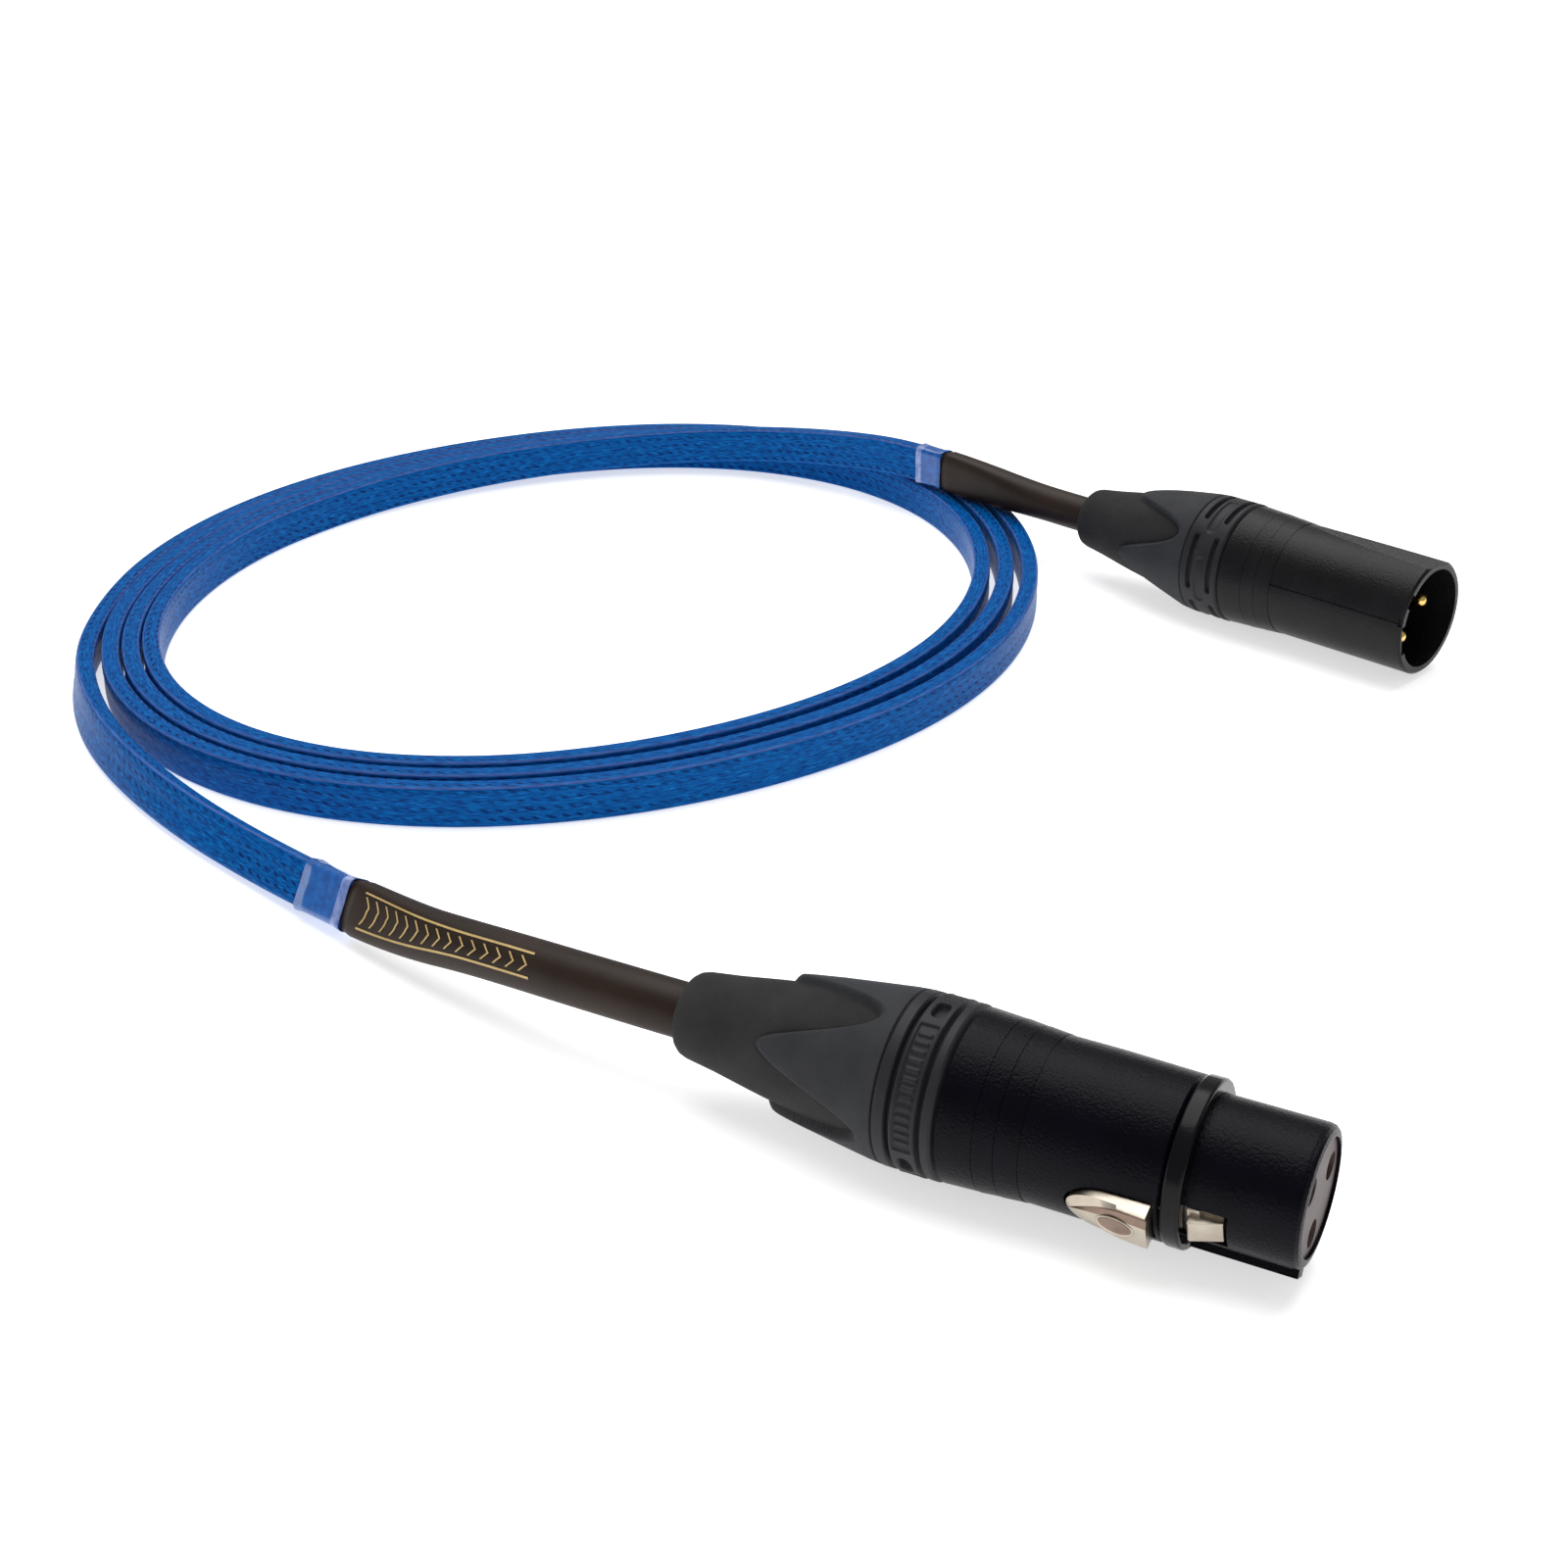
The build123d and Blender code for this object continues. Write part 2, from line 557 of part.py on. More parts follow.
def build_parts():
    """Every piece in its place, by node name."""
    female = plug_plane(FEMALE_REAR, FEMALE_AZIMUTH)
    male = plug_plane(MALE_REAR, MALE_AZIMUTH)
    parts = {
        "cable_coil": cable_coil(),
        "lead_in": ribbon("lead_in", LEAD_IN),
        "lead_out": ribbon("lead_out", LEAD_OUT),
        "female_end_collar": end_collar(FEMALE_COLLAR_LENGTH, LEAD_IN[0], LEAD_IN[1]),
        "male_end_collar": end_collar(MALE_COLLAR_LENGTH, LEAD_OUT[-1], LEAD_OUT[-2]),
        "female_sleeve": sleeve("female_sleeve", female_inside(SLEEVE_DEPTH)),
        "male_sleeve": sleeve("male_sleeve", male_inside(SLEEVE_DEPTH)),
        "female_cable_core": cable_core("female_cable_core", female_inside(CHUCK_END)),
        "male_cable_core": cable_core("male_cable_core", male_inside(CHUCK_END)),
    }
    on_female = {
        "female_conductors": conductors(LATCH_ANGLE - CONTACT_SPACING / 2),
        "female_boot": boot(FEMALE_LOBE_ANGLE),
        "female_bushing": female_bushing(),
        "female_chuck": chuck(),
        "female_shell": female_shell(),
        "female_front_ring": female_front_ring(),
        "female_insert": female_insert(),
        "female_contacts": female_contacts(),
        "latch_lever": at_angle(latch_lever(), LATCH_ANGLE),
        "latch_pin": at_angle(pivot(PIVOT_RADIUS, PIVOT_LENGTH), LATCH_ANGLE),
        "latch_spring": at_angle(latch_spring(), LATCH_ANGLE),
    }
    on_male = {
        "male_conductors": conductors(MALE_LATCH_ANGLE - CONTACT_SPACING / 2),
        "male_boot": boot(MALE_LOBE_ANGLE),
        "male_bushing": male_bushing(),
        "male_chuck": chuck(),
        "male_shell": male_shell(),
        "male_insert": male_insert(),
        "male_pins": male_pins(),
    }
    for name, shape in on_female.items():
        parts[name] = female.location * shape
    for name, shape in on_male.items():
        parts[name] = male.location * shape
    return parts


os.makedirs("parts", exist_ok=True)
for node, solid in build_parts().items():
    export_step(solid, f"parts/{node}.step")
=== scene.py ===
from math import cos, exp, hypot, pi, radians, sin

import bpy
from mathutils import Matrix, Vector


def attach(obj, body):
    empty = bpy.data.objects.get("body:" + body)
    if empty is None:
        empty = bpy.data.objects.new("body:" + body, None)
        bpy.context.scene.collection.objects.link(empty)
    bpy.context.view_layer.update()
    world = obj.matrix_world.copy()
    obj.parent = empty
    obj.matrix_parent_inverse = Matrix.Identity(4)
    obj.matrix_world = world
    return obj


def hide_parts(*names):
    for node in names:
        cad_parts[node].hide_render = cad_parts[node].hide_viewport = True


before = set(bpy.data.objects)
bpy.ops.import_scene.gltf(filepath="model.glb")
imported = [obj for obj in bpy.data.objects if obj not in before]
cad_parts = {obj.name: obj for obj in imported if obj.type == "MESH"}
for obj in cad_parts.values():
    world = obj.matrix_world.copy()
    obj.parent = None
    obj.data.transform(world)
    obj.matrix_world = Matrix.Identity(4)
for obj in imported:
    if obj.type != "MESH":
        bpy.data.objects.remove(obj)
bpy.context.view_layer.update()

# --- the cable's route, in metres, as in part.py --------------------------------------------------
MM = 0.001
COIL_CENTRE = (-0.06031, 0.00752)
COIL_RADIUS = 0.08055
COIL_EGG = 0.0031
COIL_EGG_ANGLE = -27.5
COIL_OVAL = 0.0063
COIL_OVAL_ANGLE = 90.5
COIL_SQUARE = 0.0008
COIL_SQUARE_ANGLE = 8.7
COIL_PITCH = 0.00364
COIL_PITCH_SWELL = 0.00083
COIL_START_ANGLE = 232.8
COIL_TURNS = 3.11
COIL_POINTS = 75
RIBBON_HEIGHT = 0.0066
RIBBON_THICK = 0.0029
RIBBON_CORNER = 0.00062
FEMALE_REAR = (0.1180, -0.0918, 0.01035)
FEMALE_AZIMUTH = 14.9
MALE_REAR = (0.0527, 0.0736, 0.01035)
MALE_AZIMUTH = 0.0
FEMALE_JOIN = (0.0599, -0.09758, 0.00463)
MALE_JOIN = (0.0220, 0.07397, 0.01071)
ROUTE_IN = [
    FEMALE_REAR,
    (0.1064, -0.0949, 0.01035),
    (0.0867, -0.0966, 0.0080),
    (0.0704, -0.0978, 0.0054),
    (0.0416, -0.0972, 0.0033),
    (0.0177, -0.0964, 0.0033),
    (-0.0051, -0.0924, 0.0033),
    (-0.0228, -0.0858, 0.0033),
    (-0.0389, -0.0757, 0.0033),
]
ROUTE_OUT = [
    (-0.0638, -0.0054, 0.0033),
    (-0.0623, 0.0113, 0.0037),
    (-0.0566, 0.0305, 0.0043),
    (-0.0468, 0.0490, 0.0048),
    (-0.0330, 0.0642, 0.0057),
    (-0.0160, 0.0725, 0.0074),
    (0.0010, 0.0740, 0.0098),
    (0.0130, 0.0742, 0.0108),
    (0.0316, 0.0737, 0.0106),
    (0.0409, 0.0736, 0.01035),
    MALE_REAR,
]


def from_coil(point):
    return Vector((point[0] + COIL_CENTRE[0], point[1] + COIL_CENTRE[1], point[2]))


def coil_radius(angle, turns):
    egg = COIL_EGG * cos(radians(angle - COIL_EGG_ANGLE))
    oval = COIL_OVAL * cos(radians(2 * (angle - COIL_OVAL_ANGLE)))
    square = COIL_SQUARE * cos(radians(4 * (angle - COIL_SQUARE_ANGLE)))
    pitch = COIL_PITCH + COIL_PITCH_SWELL * cos(radians(angle))
    return COIL_RADIUS + egg + oval + square - turns * pitch


def coil_points():
    """Corners of the polygon that the wound cable touches from inside."""
    points = []
    outward = 1 / cos(radians(180 * COIL_TURNS / COIL_POINTS))
    for step in range(COIL_POINTS):
        turns = COIL_TURNS * (step + 0.5) / COIL_POINTS
        angle = COIL_START_ANGLE - 360 * turns
        radius = coil_radius(angle, turns) * outward
        turn = radians(angle)
        points.append((radius * cos(turn), radius * sin(turn), RIBBON_HEIGHT / 2))
    return points


def route_line():
    """Points read from one NURBS spline that has the whole route as its control points."""
    points = [from_coil(point) for point in ROUTE_IN + coil_points() + ROUTE_OUT]
    curve = bpy.data.curves.new("route", "CURVE")
    curve.dimensions = "3D"
    spline = curve.splines.new("NURBS")
    spline.points.add(len(points) - 1)
    for control, point in zip(spline.points, points):
        control.co = (*point, 1)
    spline.order_u = 3
    spline.use_endpoint_u = True
    spline.resolution_u = 14
    holder = bpy.data.objects.new("route", curve)
    bpy.context.scene.collection.objects.link(holder)
    bpy.context.view_layer.update()
    mesh = bpy.data.meshes.new_from_object(holder)
    line = [vertex.co.copy() for vertex in mesh.vertices]
    bpy.data.objects.remove(holder)
    bpy.data.meshes.remove(mesh)
    return line


def nearest(line, point):
    return min(range(len(line)), key=lambda index: (line[index] - point).length)


# --- small tools ----------------------------------------------------------------------------------
def smooth_step(value, low, high):
    share = min(1.0, max(0.0, (value - low) / (high - low)))
    return share * share * (3 - 2 * share)


def blend_between(pairs, place):
    """Value at a place, from (place, value) pairs joined by straight lines."""
    if place <= pairs[0][0]:
        return pairs[0][1]
    for (low, first), (high, last) in zip(pairs, pairs[1:]):
        if place <= high:
            return first + (last - first) * (place - low) / (high - low)
    return pairs[-1][1]


def lengths_along(line):
    total = [0.0]
    for before, after in zip(line, line[1:]):
        total.append(total[-1] + (after - before).length)
    return total


def grid_piece(name, rows, uvs, material, body, closed_ends=False):
    """Smooth mesh through closed rings of points; a ring has one more uv than points."""
    count = len(rows[0])
    verts = [point for row in rows for point in row]
    faces = []
    face_uvs = []
    for index in range(len(rows) - 1):
        low = index * count
        high = low + count
        near, far = uvs[index], uvs[index + 1]
        for side in range(count):
            after = (side + 1) % count
            faces.append((low + side, low + after, high + after, high + side))
            face_uvs.append((near[side], near[side + 1], far[side + 1], far[side]))
    if closed_ends:
        faces.append(tuple(range(count - 1, -1, -1)))
        face_uvs.append(tuple(uvs[0][side] for side in range(count - 1, -1, -1)))
        last = (len(rows) - 1) * count
        faces.append(tuple(range(last, last + count)))
        face_uvs.append(tuple(uvs[-1][side] for side in range(count)))
    mesh = bpy.data.meshes.new(name)
    mesh.from_pydata(verts, [], faces)
    layer = mesh.uv_layers.new(name="UVMap")
    place = 0
    for corners in face_uvs:
        for corner in corners:
            layer.data[place].uv = corner
            place += 1
    mesh.shade_smooth()
    mesh.materials.append(material)
    piece = bpy.data.objects.new(name, mesh)
    bpy.context.scene.collection.objects.link(piece)
    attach(piece, body)
    return piece


# --- materials ------------------------------------------------------------------------------------
class Nodes:
    """Short way to build one material's node tree."""

    def __init__(self, name):
        self.material = bpy.data.materials.new(name)
        self.material.use_nodes = True
        self.tree = self.material.node_tree
        self.shader = self.tree.nodes["Principled BSDF"]

    def add(self, kind, **values):
        node = self.tree.nodes.new(kind)
        for key, value in values.items():
            setattr(node, key, value)
        return node

    def link(self, source, target):
        self.tree.links.new(source, target)

    def put(self, **values):
        for key, value in values.items():
            self.shader.inputs[key.replace("_", " ")].default_value = value

    def math(self, operation, first, second=None, third=None):
        node = self.add("ShaderNodeMath", operation=operation)
        for socket, value in zip(node.inputs, (first, second, third)):
            if value is None:
                continue
            if isinstance(value, (int, float)):
                socket.default_value = value
            else:
                self.link(value, socket)
        return node.outputs[0]

    def noise(self, vector, scale, detail=3.0, roughness=0.5):
        node = self.add("ShaderNodeTexNoise")
        node.inputs["Scale"].default_value = scale
        node.inputs["Detail"].default_value = detail
        node.inputs["Roughness"].default_value = roughness
        self.link(vector, node.inputs["Vector"])
        return node.outputs["Fac"]

    def ramp(self, factor, stops):
        node = self.add("ShaderNodeValToRGB")
        while len(node.color_ramp.elements) < len(stops):
            node.color_ramp.elements.new(0.5)
        for element, (place, colour) in zip(node.color_ramp.elements, stops):
            element.position = place
            element.color = (*colour, 1)
        self.link(factor, node.inputs["Fac"])
        return node.outputs["Color"]

    def place(self):
        return self.add("ShaderNodeTexCoord").outputs["Object"]

    def stretched(self, vector, scale, turn=(0, 0, 0)):
        node = self.add("ShaderNodeMapping")
        node.inputs["Scale"].default_value = scale
        node.inputs["Rotation"].default_value = turn
        self.link(vector, node.inputs["Vector"])
        return node.outputs["Vector"]

    def bump(self, height, strength, distance):
        node = self.add("ShaderNodeBump")
        node.inputs["Strength"].default_value = strength
        node.inputs["Distance"].default_value = distance
        self.link(height, node.inputs["Height"])
        self.link(node.outputs["Normal"], self.shader.inputs["Normal"])
        return node


def grained(name, dark, light, rough, grain, depth, metallic=0.0, coat=0.0, spread=0.1, shine=0.25):
    """Moulded or coated surface with fine grain, slight colour change and uneven gloss."""
    nodes = Nodes(name)
    place = nodes.place()
    broad = nodes.noise(place, grain * 0.08, 3.0)
    fine = nodes.noise(place, grain, 2.0, 0.6)
    nodes.link(nodes.ramp(broad, [(0.3, dark), (0.7, light)]), nodes.shader.inputs["Base Color"])
    gloss = nodes.math("MULTIPLY_ADD", fine, spread, rough - spread / 2)
    nodes.link(gloss, nodes.shader.inputs["Roughness"])
    nodes.bump(fine, 0.6, depth)
    nodes.put(Metallic=metallic, Coat_Weight=coat, Coat_Roughness=0.12, Specular_IOR_Level=shine)
    return nodes.material


# The UV map follows the cable's length and the way round its section. Sizes below are in mm.
UV_PER_METRE = 10
MM_PER_UV = 100.0
DASH_PITCH = 2.1
DASH_ROW = 1.5
DASH_LONG = 0.30
DASH_WIDE = 0.15
DASH_FAINTEST = 0.08
DASH_STRONGEST = 0.78
DASH_EDGE = 1.8
DASH_SIZE = 1.8
DASH_RAGGED = 1.1
DASH_TILT = 0.4
DASH_WANDER = 0.5
DASH_COLOUR = (0.0, 0.008, 0.085, 1)
THREAD_COLOURS = [
    (0.38, (0.0, 0.030, 0.16)),
    (0.46, (0.0, 0.070, 0.29)),
    (0.54, (0.0, 0.115, 0.41)),
    (0.65, (0.008, 0.210, 0.60)),
]
STRAND_SCALE = (0.45, 3.4, 1)
STRAND_SLANT = 0.5
# Painted highlight: a thin paler lilac line along both upper corners of the ribbon. These set where
# it lies round the section, how wide it is, and its colour.
LIP_HIGHLIGHT_MIDDLE = 1.8
LIP_HIGHLIGHT_REACH = 1.3
LIP_HIGHLIGHT_WIDE = 0.28
LIP_HIGHLIGHT_COLOUR = (0.17, 0.20, 0.52, 1)


def braid_material():
    """Blue braid under a clear jacket: slanted strands, ragged dashes and a painted highlight along
    the upper corners.
    """
    nodes = Nodes("blue_braid")
    uv = nodes.add("ShaderNodeTexCoord").outputs["UV"]
    split = nodes.add("ShaderNodeSeparateXYZ")
    nodes.link(uv, split.inputs[0])
    along = nodes.math("MULTIPLY", split.outputs[0], MM_PER_UV)
    round_it = nodes.math("MULTIPLY", split.outputs[1], MM_PER_UV)
    place = nodes.add("ShaderNodeCombineXYZ")
    nodes.link(along, place.inputs[0])
    nodes.link(round_it, place.inputs[1])
    flat = place.outputs[0]
    wander = nodes.noise(flat, 0.45, 2.0)
    row = nodes.math("DIVIDE", round_it, DASH_ROW)
    stagger = nodes.math("MULTIPLY", nodes.math("MODULO", nodes.math("FLOOR", row), 2.0), 0.5)
    step = nodes.math("ADD", nodes.math("DIVIDE", along, DASH_PITCH), stagger)
    step = nodes.math("MULTIPLY_ADD", wander, DASH_WANDER, step)
    in_step = nodes.math("SUBTRACT", nodes.math("FRACT", step), 0.5)
    in_row = nodes.math("SUBTRACT", nodes.math("FRACT", row), 0.5)
    tilted = nodes.math("MULTIPLY_ADD", in_step, DASH_TILT, in_row)
    long_way = nodes.math("DIVIDE", in_step, DASH_LONG)
    short_way = nodes.math("DIVIDE", tilted, DASH_WIDE)
    long_square = nodes.math("POWER", nodes.math("ABSOLUTE", long_way), 2.0)
    short_square = nodes.math("POWER", nodes.math("ABSOLUTE", short_way), 2.0)
    distance = nodes.math("SQRT", nodes.math("ADD", long_square, short_square))
    ragged = nodes.math("MULTIPLY", nodes.noise(flat, 2.6, 3.0), DASH_RAGGED)
    dash = nodes.math("SUBTRACT", nodes.math("SUBTRACT", DASH_SIZE, ragged), distance)
    dash = nodes.math("MAXIMUM", nodes.math("MULTIPLY", dash, DASH_EDGE), 0.0)
    dash = nodes.math("MINIMUM", dash, 1.0)
    shown = nodes.noise(nodes.stretched(flat, (0.03, 0.2, 1)), 1.0, 2.0)
    shown = nodes.math("MAXIMUM", nodes.math("MULTIPLY_ADD", shown, 3.0, -1.0), DASH_FAINTEST)
    shown = nodes.math("MINIMUM", shown, DASH_STRONGEST)
    dash = nodes.math("MULTIPLY", dash, shown)
    rising = nodes.noise(nodes.stretched(flat, STRAND_SCALE, (0, 0, STRAND_SLANT)), 1.0, 4.0, 0.7)
    falling = nodes.noise(nodes.stretched(flat, STRAND_SCALE, (0, 0, -STRAND_SLANT)), 1.0, 4.0, 0.7)
    strands = nodes.math("MULTIPLY", nodes.math("ADD", rising, falling), 0.5)
    thread = nodes.ramp(strands, THREAD_COLOURS)
    mix = nodes.add("ShaderNodeMix", data_type="RGBA")
    nodes.link(dash, mix.inputs["Factor"])
    nodes.link(thread, mix.inputs[6])
    mix.inputs[7].default_value = DASH_COLOUR
    # Painted highlight: the colour turns paler lilac in a thin line along both upper corners.
    from_middle = nodes.math("ABSOLUTE", nodes.math("SUBTRACT", round_it, LIP_HIGHLIGHT_MIDDLE))
    off_lip = nodes.math("ABSOLUTE", nodes.math("SUBTRACT", from_middle, LIP_HIGHLIGHT_REACH))
    lip = nodes.math("SUBTRACT", 1.0, nodes.math("DIVIDE", off_lip, LIP_HIGHLIGHT_WIDE))
    lip = nodes.math("MAXIMUM", lip, 0.0)
    lip = nodes.math("MULTIPLY", lip, nodes.noise(nodes.stretched(flat, (0.25, 0.6, 1)), 1.0, 3.0))
    lit = nodes.add("ShaderNodeMix", data_type="RGBA")
    nodes.link(lip, lit.inputs["Factor"])
    nodes.link(mix.outputs[2], lit.inputs[6])
    lit.inputs[7].default_value = LIP_HIGHLIGHT_COLOUR
    nodes.link(lit.outputs[2], nodes.shader.inputs["Base Color"])
    nodes.put(Roughness=0.38, Specular_IOR_Level=0.03)
    nodes.put(Coat_Weight=0.08, Coat_Roughness=0.1, Coat_IOR=1.3)
    nodes.bump(nodes.math("SUBTRACT", strands, dash), 0.35, 0.00015)
    return nodes.material


def band_material(name, dark, light):
    """Clear shrunk band over the blue cable, a little milky."""
    nodes = Nodes(name)
    cloud = nodes.noise(nodes.place(), 900, 3.0)
    nodes.link(nodes.ramp(cloud, [(0.35, dark), (0.65, light)]), nodes.shader.inputs["Base Color"])
    nodes.put(Roughness=0.25, Coat_Weight=0.5, Coat_Roughness=0.05, Specular_IOR_Level=0.3)
    nodes.bump(cloud, 0.2, 0.0001)
    return nodes.material


def nickel_material(name, dark, light, rough):
    """Satin nickel with faint casting marks."""
    nodes = Nodes(name)
    place = nodes.place()
    broad = nodes.noise(place, 420, 4.0)
    nodes.link(nodes.ramp(broad, [(0.2, dark), (0.8, light)]), nodes.shader.inputs["Base Color"])
    fine = nodes.noise(place, 2500, 2.0)
    nodes.link(nodes.math("MULTIPLY_ADD", fine, 0.16, rough), nodes.shader.inputs["Roughness"])
    nodes.bump(broad, 0.12, 0.00004)
    nodes.put(Metallic=1.0)
    return nodes.material


def gold_material():
    """Gold plate with slight wear."""
    nodes = Nodes("gold_plate")
    wear = nodes.noise(nodes.place(), 1500, 3.0)
    nodes.link(nodes.ramp(wear, [(0.3, (0.72, 0.46, 0.12)), (0.7, (0.95, 0.70, 0.25))]),
               nodes.shader.inputs["Base Color"])
    nodes.link(nodes.math("MULTIPLY_ADD", wear, 0.12, 0.14), nodes.shader.inputs["Roughness"])
    nodes.put(Metallic=1.0)
    return nodes.material


BLUE = braid_material()
BAND = band_material("clear_band", (0.001, 0.075, 0.33), (0.004, 0.13, 0.48))
# Paler copy of the band's colour for its rolled lips: painted highlight.
BAND_LIP_HIGHLIGHT = band_material("clear_band_lip_highlight", (0.12, 0.20, 0.52), (0.30, 0.38, 0.70))
NICKEL = nickel_material("satin_nickel", (0.44, 0.38, 0.31), (0.60, 0.54, 0.45), 0.24)
# Darker brown nickel for the button's hollow and inside the medallion's rim: painted shade.
NICKEL_SHADE = nickel_material("nickel_painted_shade", (0.19, 0.13, 0.10), (0.34, 0.25, 0.20), 0.36)
GOLD = gold_material()
SLEEVE = grained("brown_sleeve", (0.018, 0.0095, 0.0055), (0.028, 0.0155, 0.0095),
                 0.48, 1400, 0.00003, shine=0.2)
PRINT = grained("gold_print", (0.50, 0.34, 0.12), (0.68, 0.50, 0.22), 0.5, 2600, 0.00002)
BOOT = grained("boot_rubber", (0.028, 0.029, 0.033), (0.038, 0.039, 0.044),
               0.65, 3200, 0.00006, shine=0.2)
# Rubber of the hollows between the lobes: rougher grain, and a darker colour that is painted shade.
BOOT_WELL_SHADE = grained("boot_wells_painted_shade", (0.023, 0.022, 0.023), (0.034, 0.033, 0.034),
                    0.75, 2400, 0.00010, shine=0.16)
BUSHING = grained("bushing_plastic", (0.019, 0.019, 0.022), (0.026, 0.026, 0.030),
                  0.5, 3400, 0.00004, shine=0.2)
SHELL = grained("shell_black", (0.0012, 0.0009, 0.0030), (0.0026, 0.0020, 0.0056),
                0.30, 3000, 0.00016, shine=0.08)
# Male shell: a satin finish, and a lighter colour than the female shell that stands in for the
# stronger light on it, which is painted light.
SHELL_SATIN_LIT = grained("shell_satin_painted_light", (0.006, 0.006, 0.007), (0.010, 0.010, 0.0115),
                      0.33, 3000, 0.00013, shine=0.16)
RING = grained("ring_gloss", (0.002, 0.002, 0.003), (0.004, 0.0035, 0.005),
               0.22, 1500, 0.00003, shine=0.16)
INSERT = grained("insert_plastic", (0.080, 0.058, 0.056), (0.125, 0.094, 0.090), 0.5, 2600, 0.00004)
CUP_FLOOR = grained("insert_black", (0.0020, 0.0020, 0.0022), (0.004, 0.004, 0.004),
                    0.5, 2600, 0.00004, shine=0.1)
INNER = grained("inner_plastic", (0.45, 0.44, 0.42), (0.6, 0.59, 0.57), 0.5, 2000, 0.00003)
WIRE = grained("wire_insulation", (0.30, 0.03, 0.02), (0.42, 0.05, 0.03), 0.4, 1500, 0.00002)
CORE = grained("cable_core", (0.05, 0.06, 0.10), (0.08, 0.09, 0.14), 0.55, 1500, 0.00003)
STEEL = grained("spring_steel", (0.40, 0.40, 0.41), (0.55, 0.55, 0.56),
                0.3, 2500, 0.00002, metallic=1.0)

NODE_MATERIALS = {
    "female_shell": SHELL,
    "male_shell": SHELL_SATIN_LIT,
    "female_front_ring": RING,
    "female_insert": INSERT,
    "male_insert": CUP_FLOOR,
    "female_contacts": GOLD,
    "male_pins": GOLD,
    "latch_lever": NICKEL,
    "latch_pin": STEEL,
    "latch_spring": STEEL,
    "female_chuck": INNER,
    "male_chuck": INNER,
    "female_conductors": WIRE,
    "male_conductors": WIRE,
    "female_cable_core": CORE,
    "male_cable_core": CORE,
}
for node, material in NODE_MATERIALS.items():
    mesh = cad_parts[node].data
    mesh.materials.clear()
    mesh.materials.append(material)


# --- cable ----------------------------------------------------------------------------------------
LINE = route_line()
FEMALE_END = nearest(LINE, from_coil(FEMALE_JOIN))
MALE_END = nearest(LINE, from_coil(MALE_JOIN))
TRAVEL = lengths_along(LINE)
LEAN = radians(-30)
LEAN_FROM = 0.025
LEAN_TO = 0.150
RIBBON_GROOVE = 0.00012
GROOVE_REACH = 0.0009
FACE_CROWN = 0.4


def ribbon_outline(grow=0.0, groove=RIBBON_GROOVE):
    """Flat cable's section: round corners and crowned broad faces with a groove."""
    corner = RIBBON_CORNER + grow
    wide = RIBBON_THICK / 2 + grow - corner
    tall = RIBBON_HEIGHT / 2 + grow - corner
    outline = []
    corners = [(wide, tall), (-wide, tall), (-wide, -tall), (wide, -tall)]
    for side, (centre_x, centre_y) in enumerate(corners):
        for step in range(6):
            turn = pi / 2 * (side + step / 5)
            outline.append((centre_x + corner * cos(turn), centre_y + corner * sin(turn)))
        if side % 2:
            facing = 1 if side == 3 else -1
            for step in range(1, 8):
                height = tall * (step / 4 - 1) * facing
                dent = groove * exp(-(height / GROOVE_REACH) ** 2)
                dent -= FACE_CROWN * groove * (1 - (height / tall) ** 2)
                outline.append((facing * (wide + corner - dent), height))
    return outline


def cross_axes(index, roll=0.0):
    """Sideways and upward directions across the route at one of its points."""
    before = LINE[max(index - 1, 0)]
    after = LINE[min(index + 1, len(LINE) - 1)]
    along = (after - before).normalized()
    side = along.cross(Vector((0, 0, 1))).normalized()
    up = side.cross(along)
    return side * cos(roll) + up * sin(roll), up * cos(roll) - side * sin(roll)


def cable_roll(index):
    """The flat cable leans over towards the female sleeve."""
    distance = TRAVEL[index] - TRAVEL[FEMALE_END]
    return LEAN * (1 - smooth_step(distance, LEAN_FROM, LEAN_TO))


def lift_for(index, roll):
    """How far a leaning section has to rise to stay on the floor."""
    reach = RIBBON_HEIGHT / 2 * cos(roll) + (RIBBON_THICK / 2 - RIBBON_CORNER) * sin(abs(roll))
    return Vector((0, 0, max(0.0, reach - LINE[index].z)))


def swept_rows(indices, outline_at):
    rows = []
    uvs = []
    for index in indices:
        roll = cable_roll(index)
        side, up = cross_axes(index, roll)
        middle = LINE[index] + lift_for(index, roll)
        outline = outline_at(index)
        rows.append([middle + side * across + up * tall for across, tall in outline])
        place = 0.0
        ring = []
        for before, after in zip(outline, outline[1:] + outline[:1]):
            ring.append((TRAVEL[index] * UV_PER_METRE, place * UV_PER_METRE))
            place += hypot(after[0] - before[0], after[1] - before[1])
        uvs.append(ring + [(TRAVEL[index] * UV_PER_METRE, place * UV_PER_METRE)])
    return rows, uvs


def make_ribbon():
    outline = ribbon_outline()
    indices = range(FEMALE_END, MALE_END + 1)
    rows, uvs = swept_rows(indices, lambda index: outline)
    piece = grid_piece("flat_cable", rows, uvs, BLUE, "root", closed_ends=True)
    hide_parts("cable_coil", "lead_in", "lead_out")
    return piece


FEMALE_BAND_LENGTH = 0.0080
MALE_BAND_LENGTH = 0.0050
BAND_LIP_HIGHLIGHT_LENGTH = 0.0006
BAND_LIP_FADE = 0.0014
BAND_LIP_RISE = 0.00022
BAND_GROW = 0.00012
BAND_GROOVE = 0.00005
BAND_WALL = 0.0001


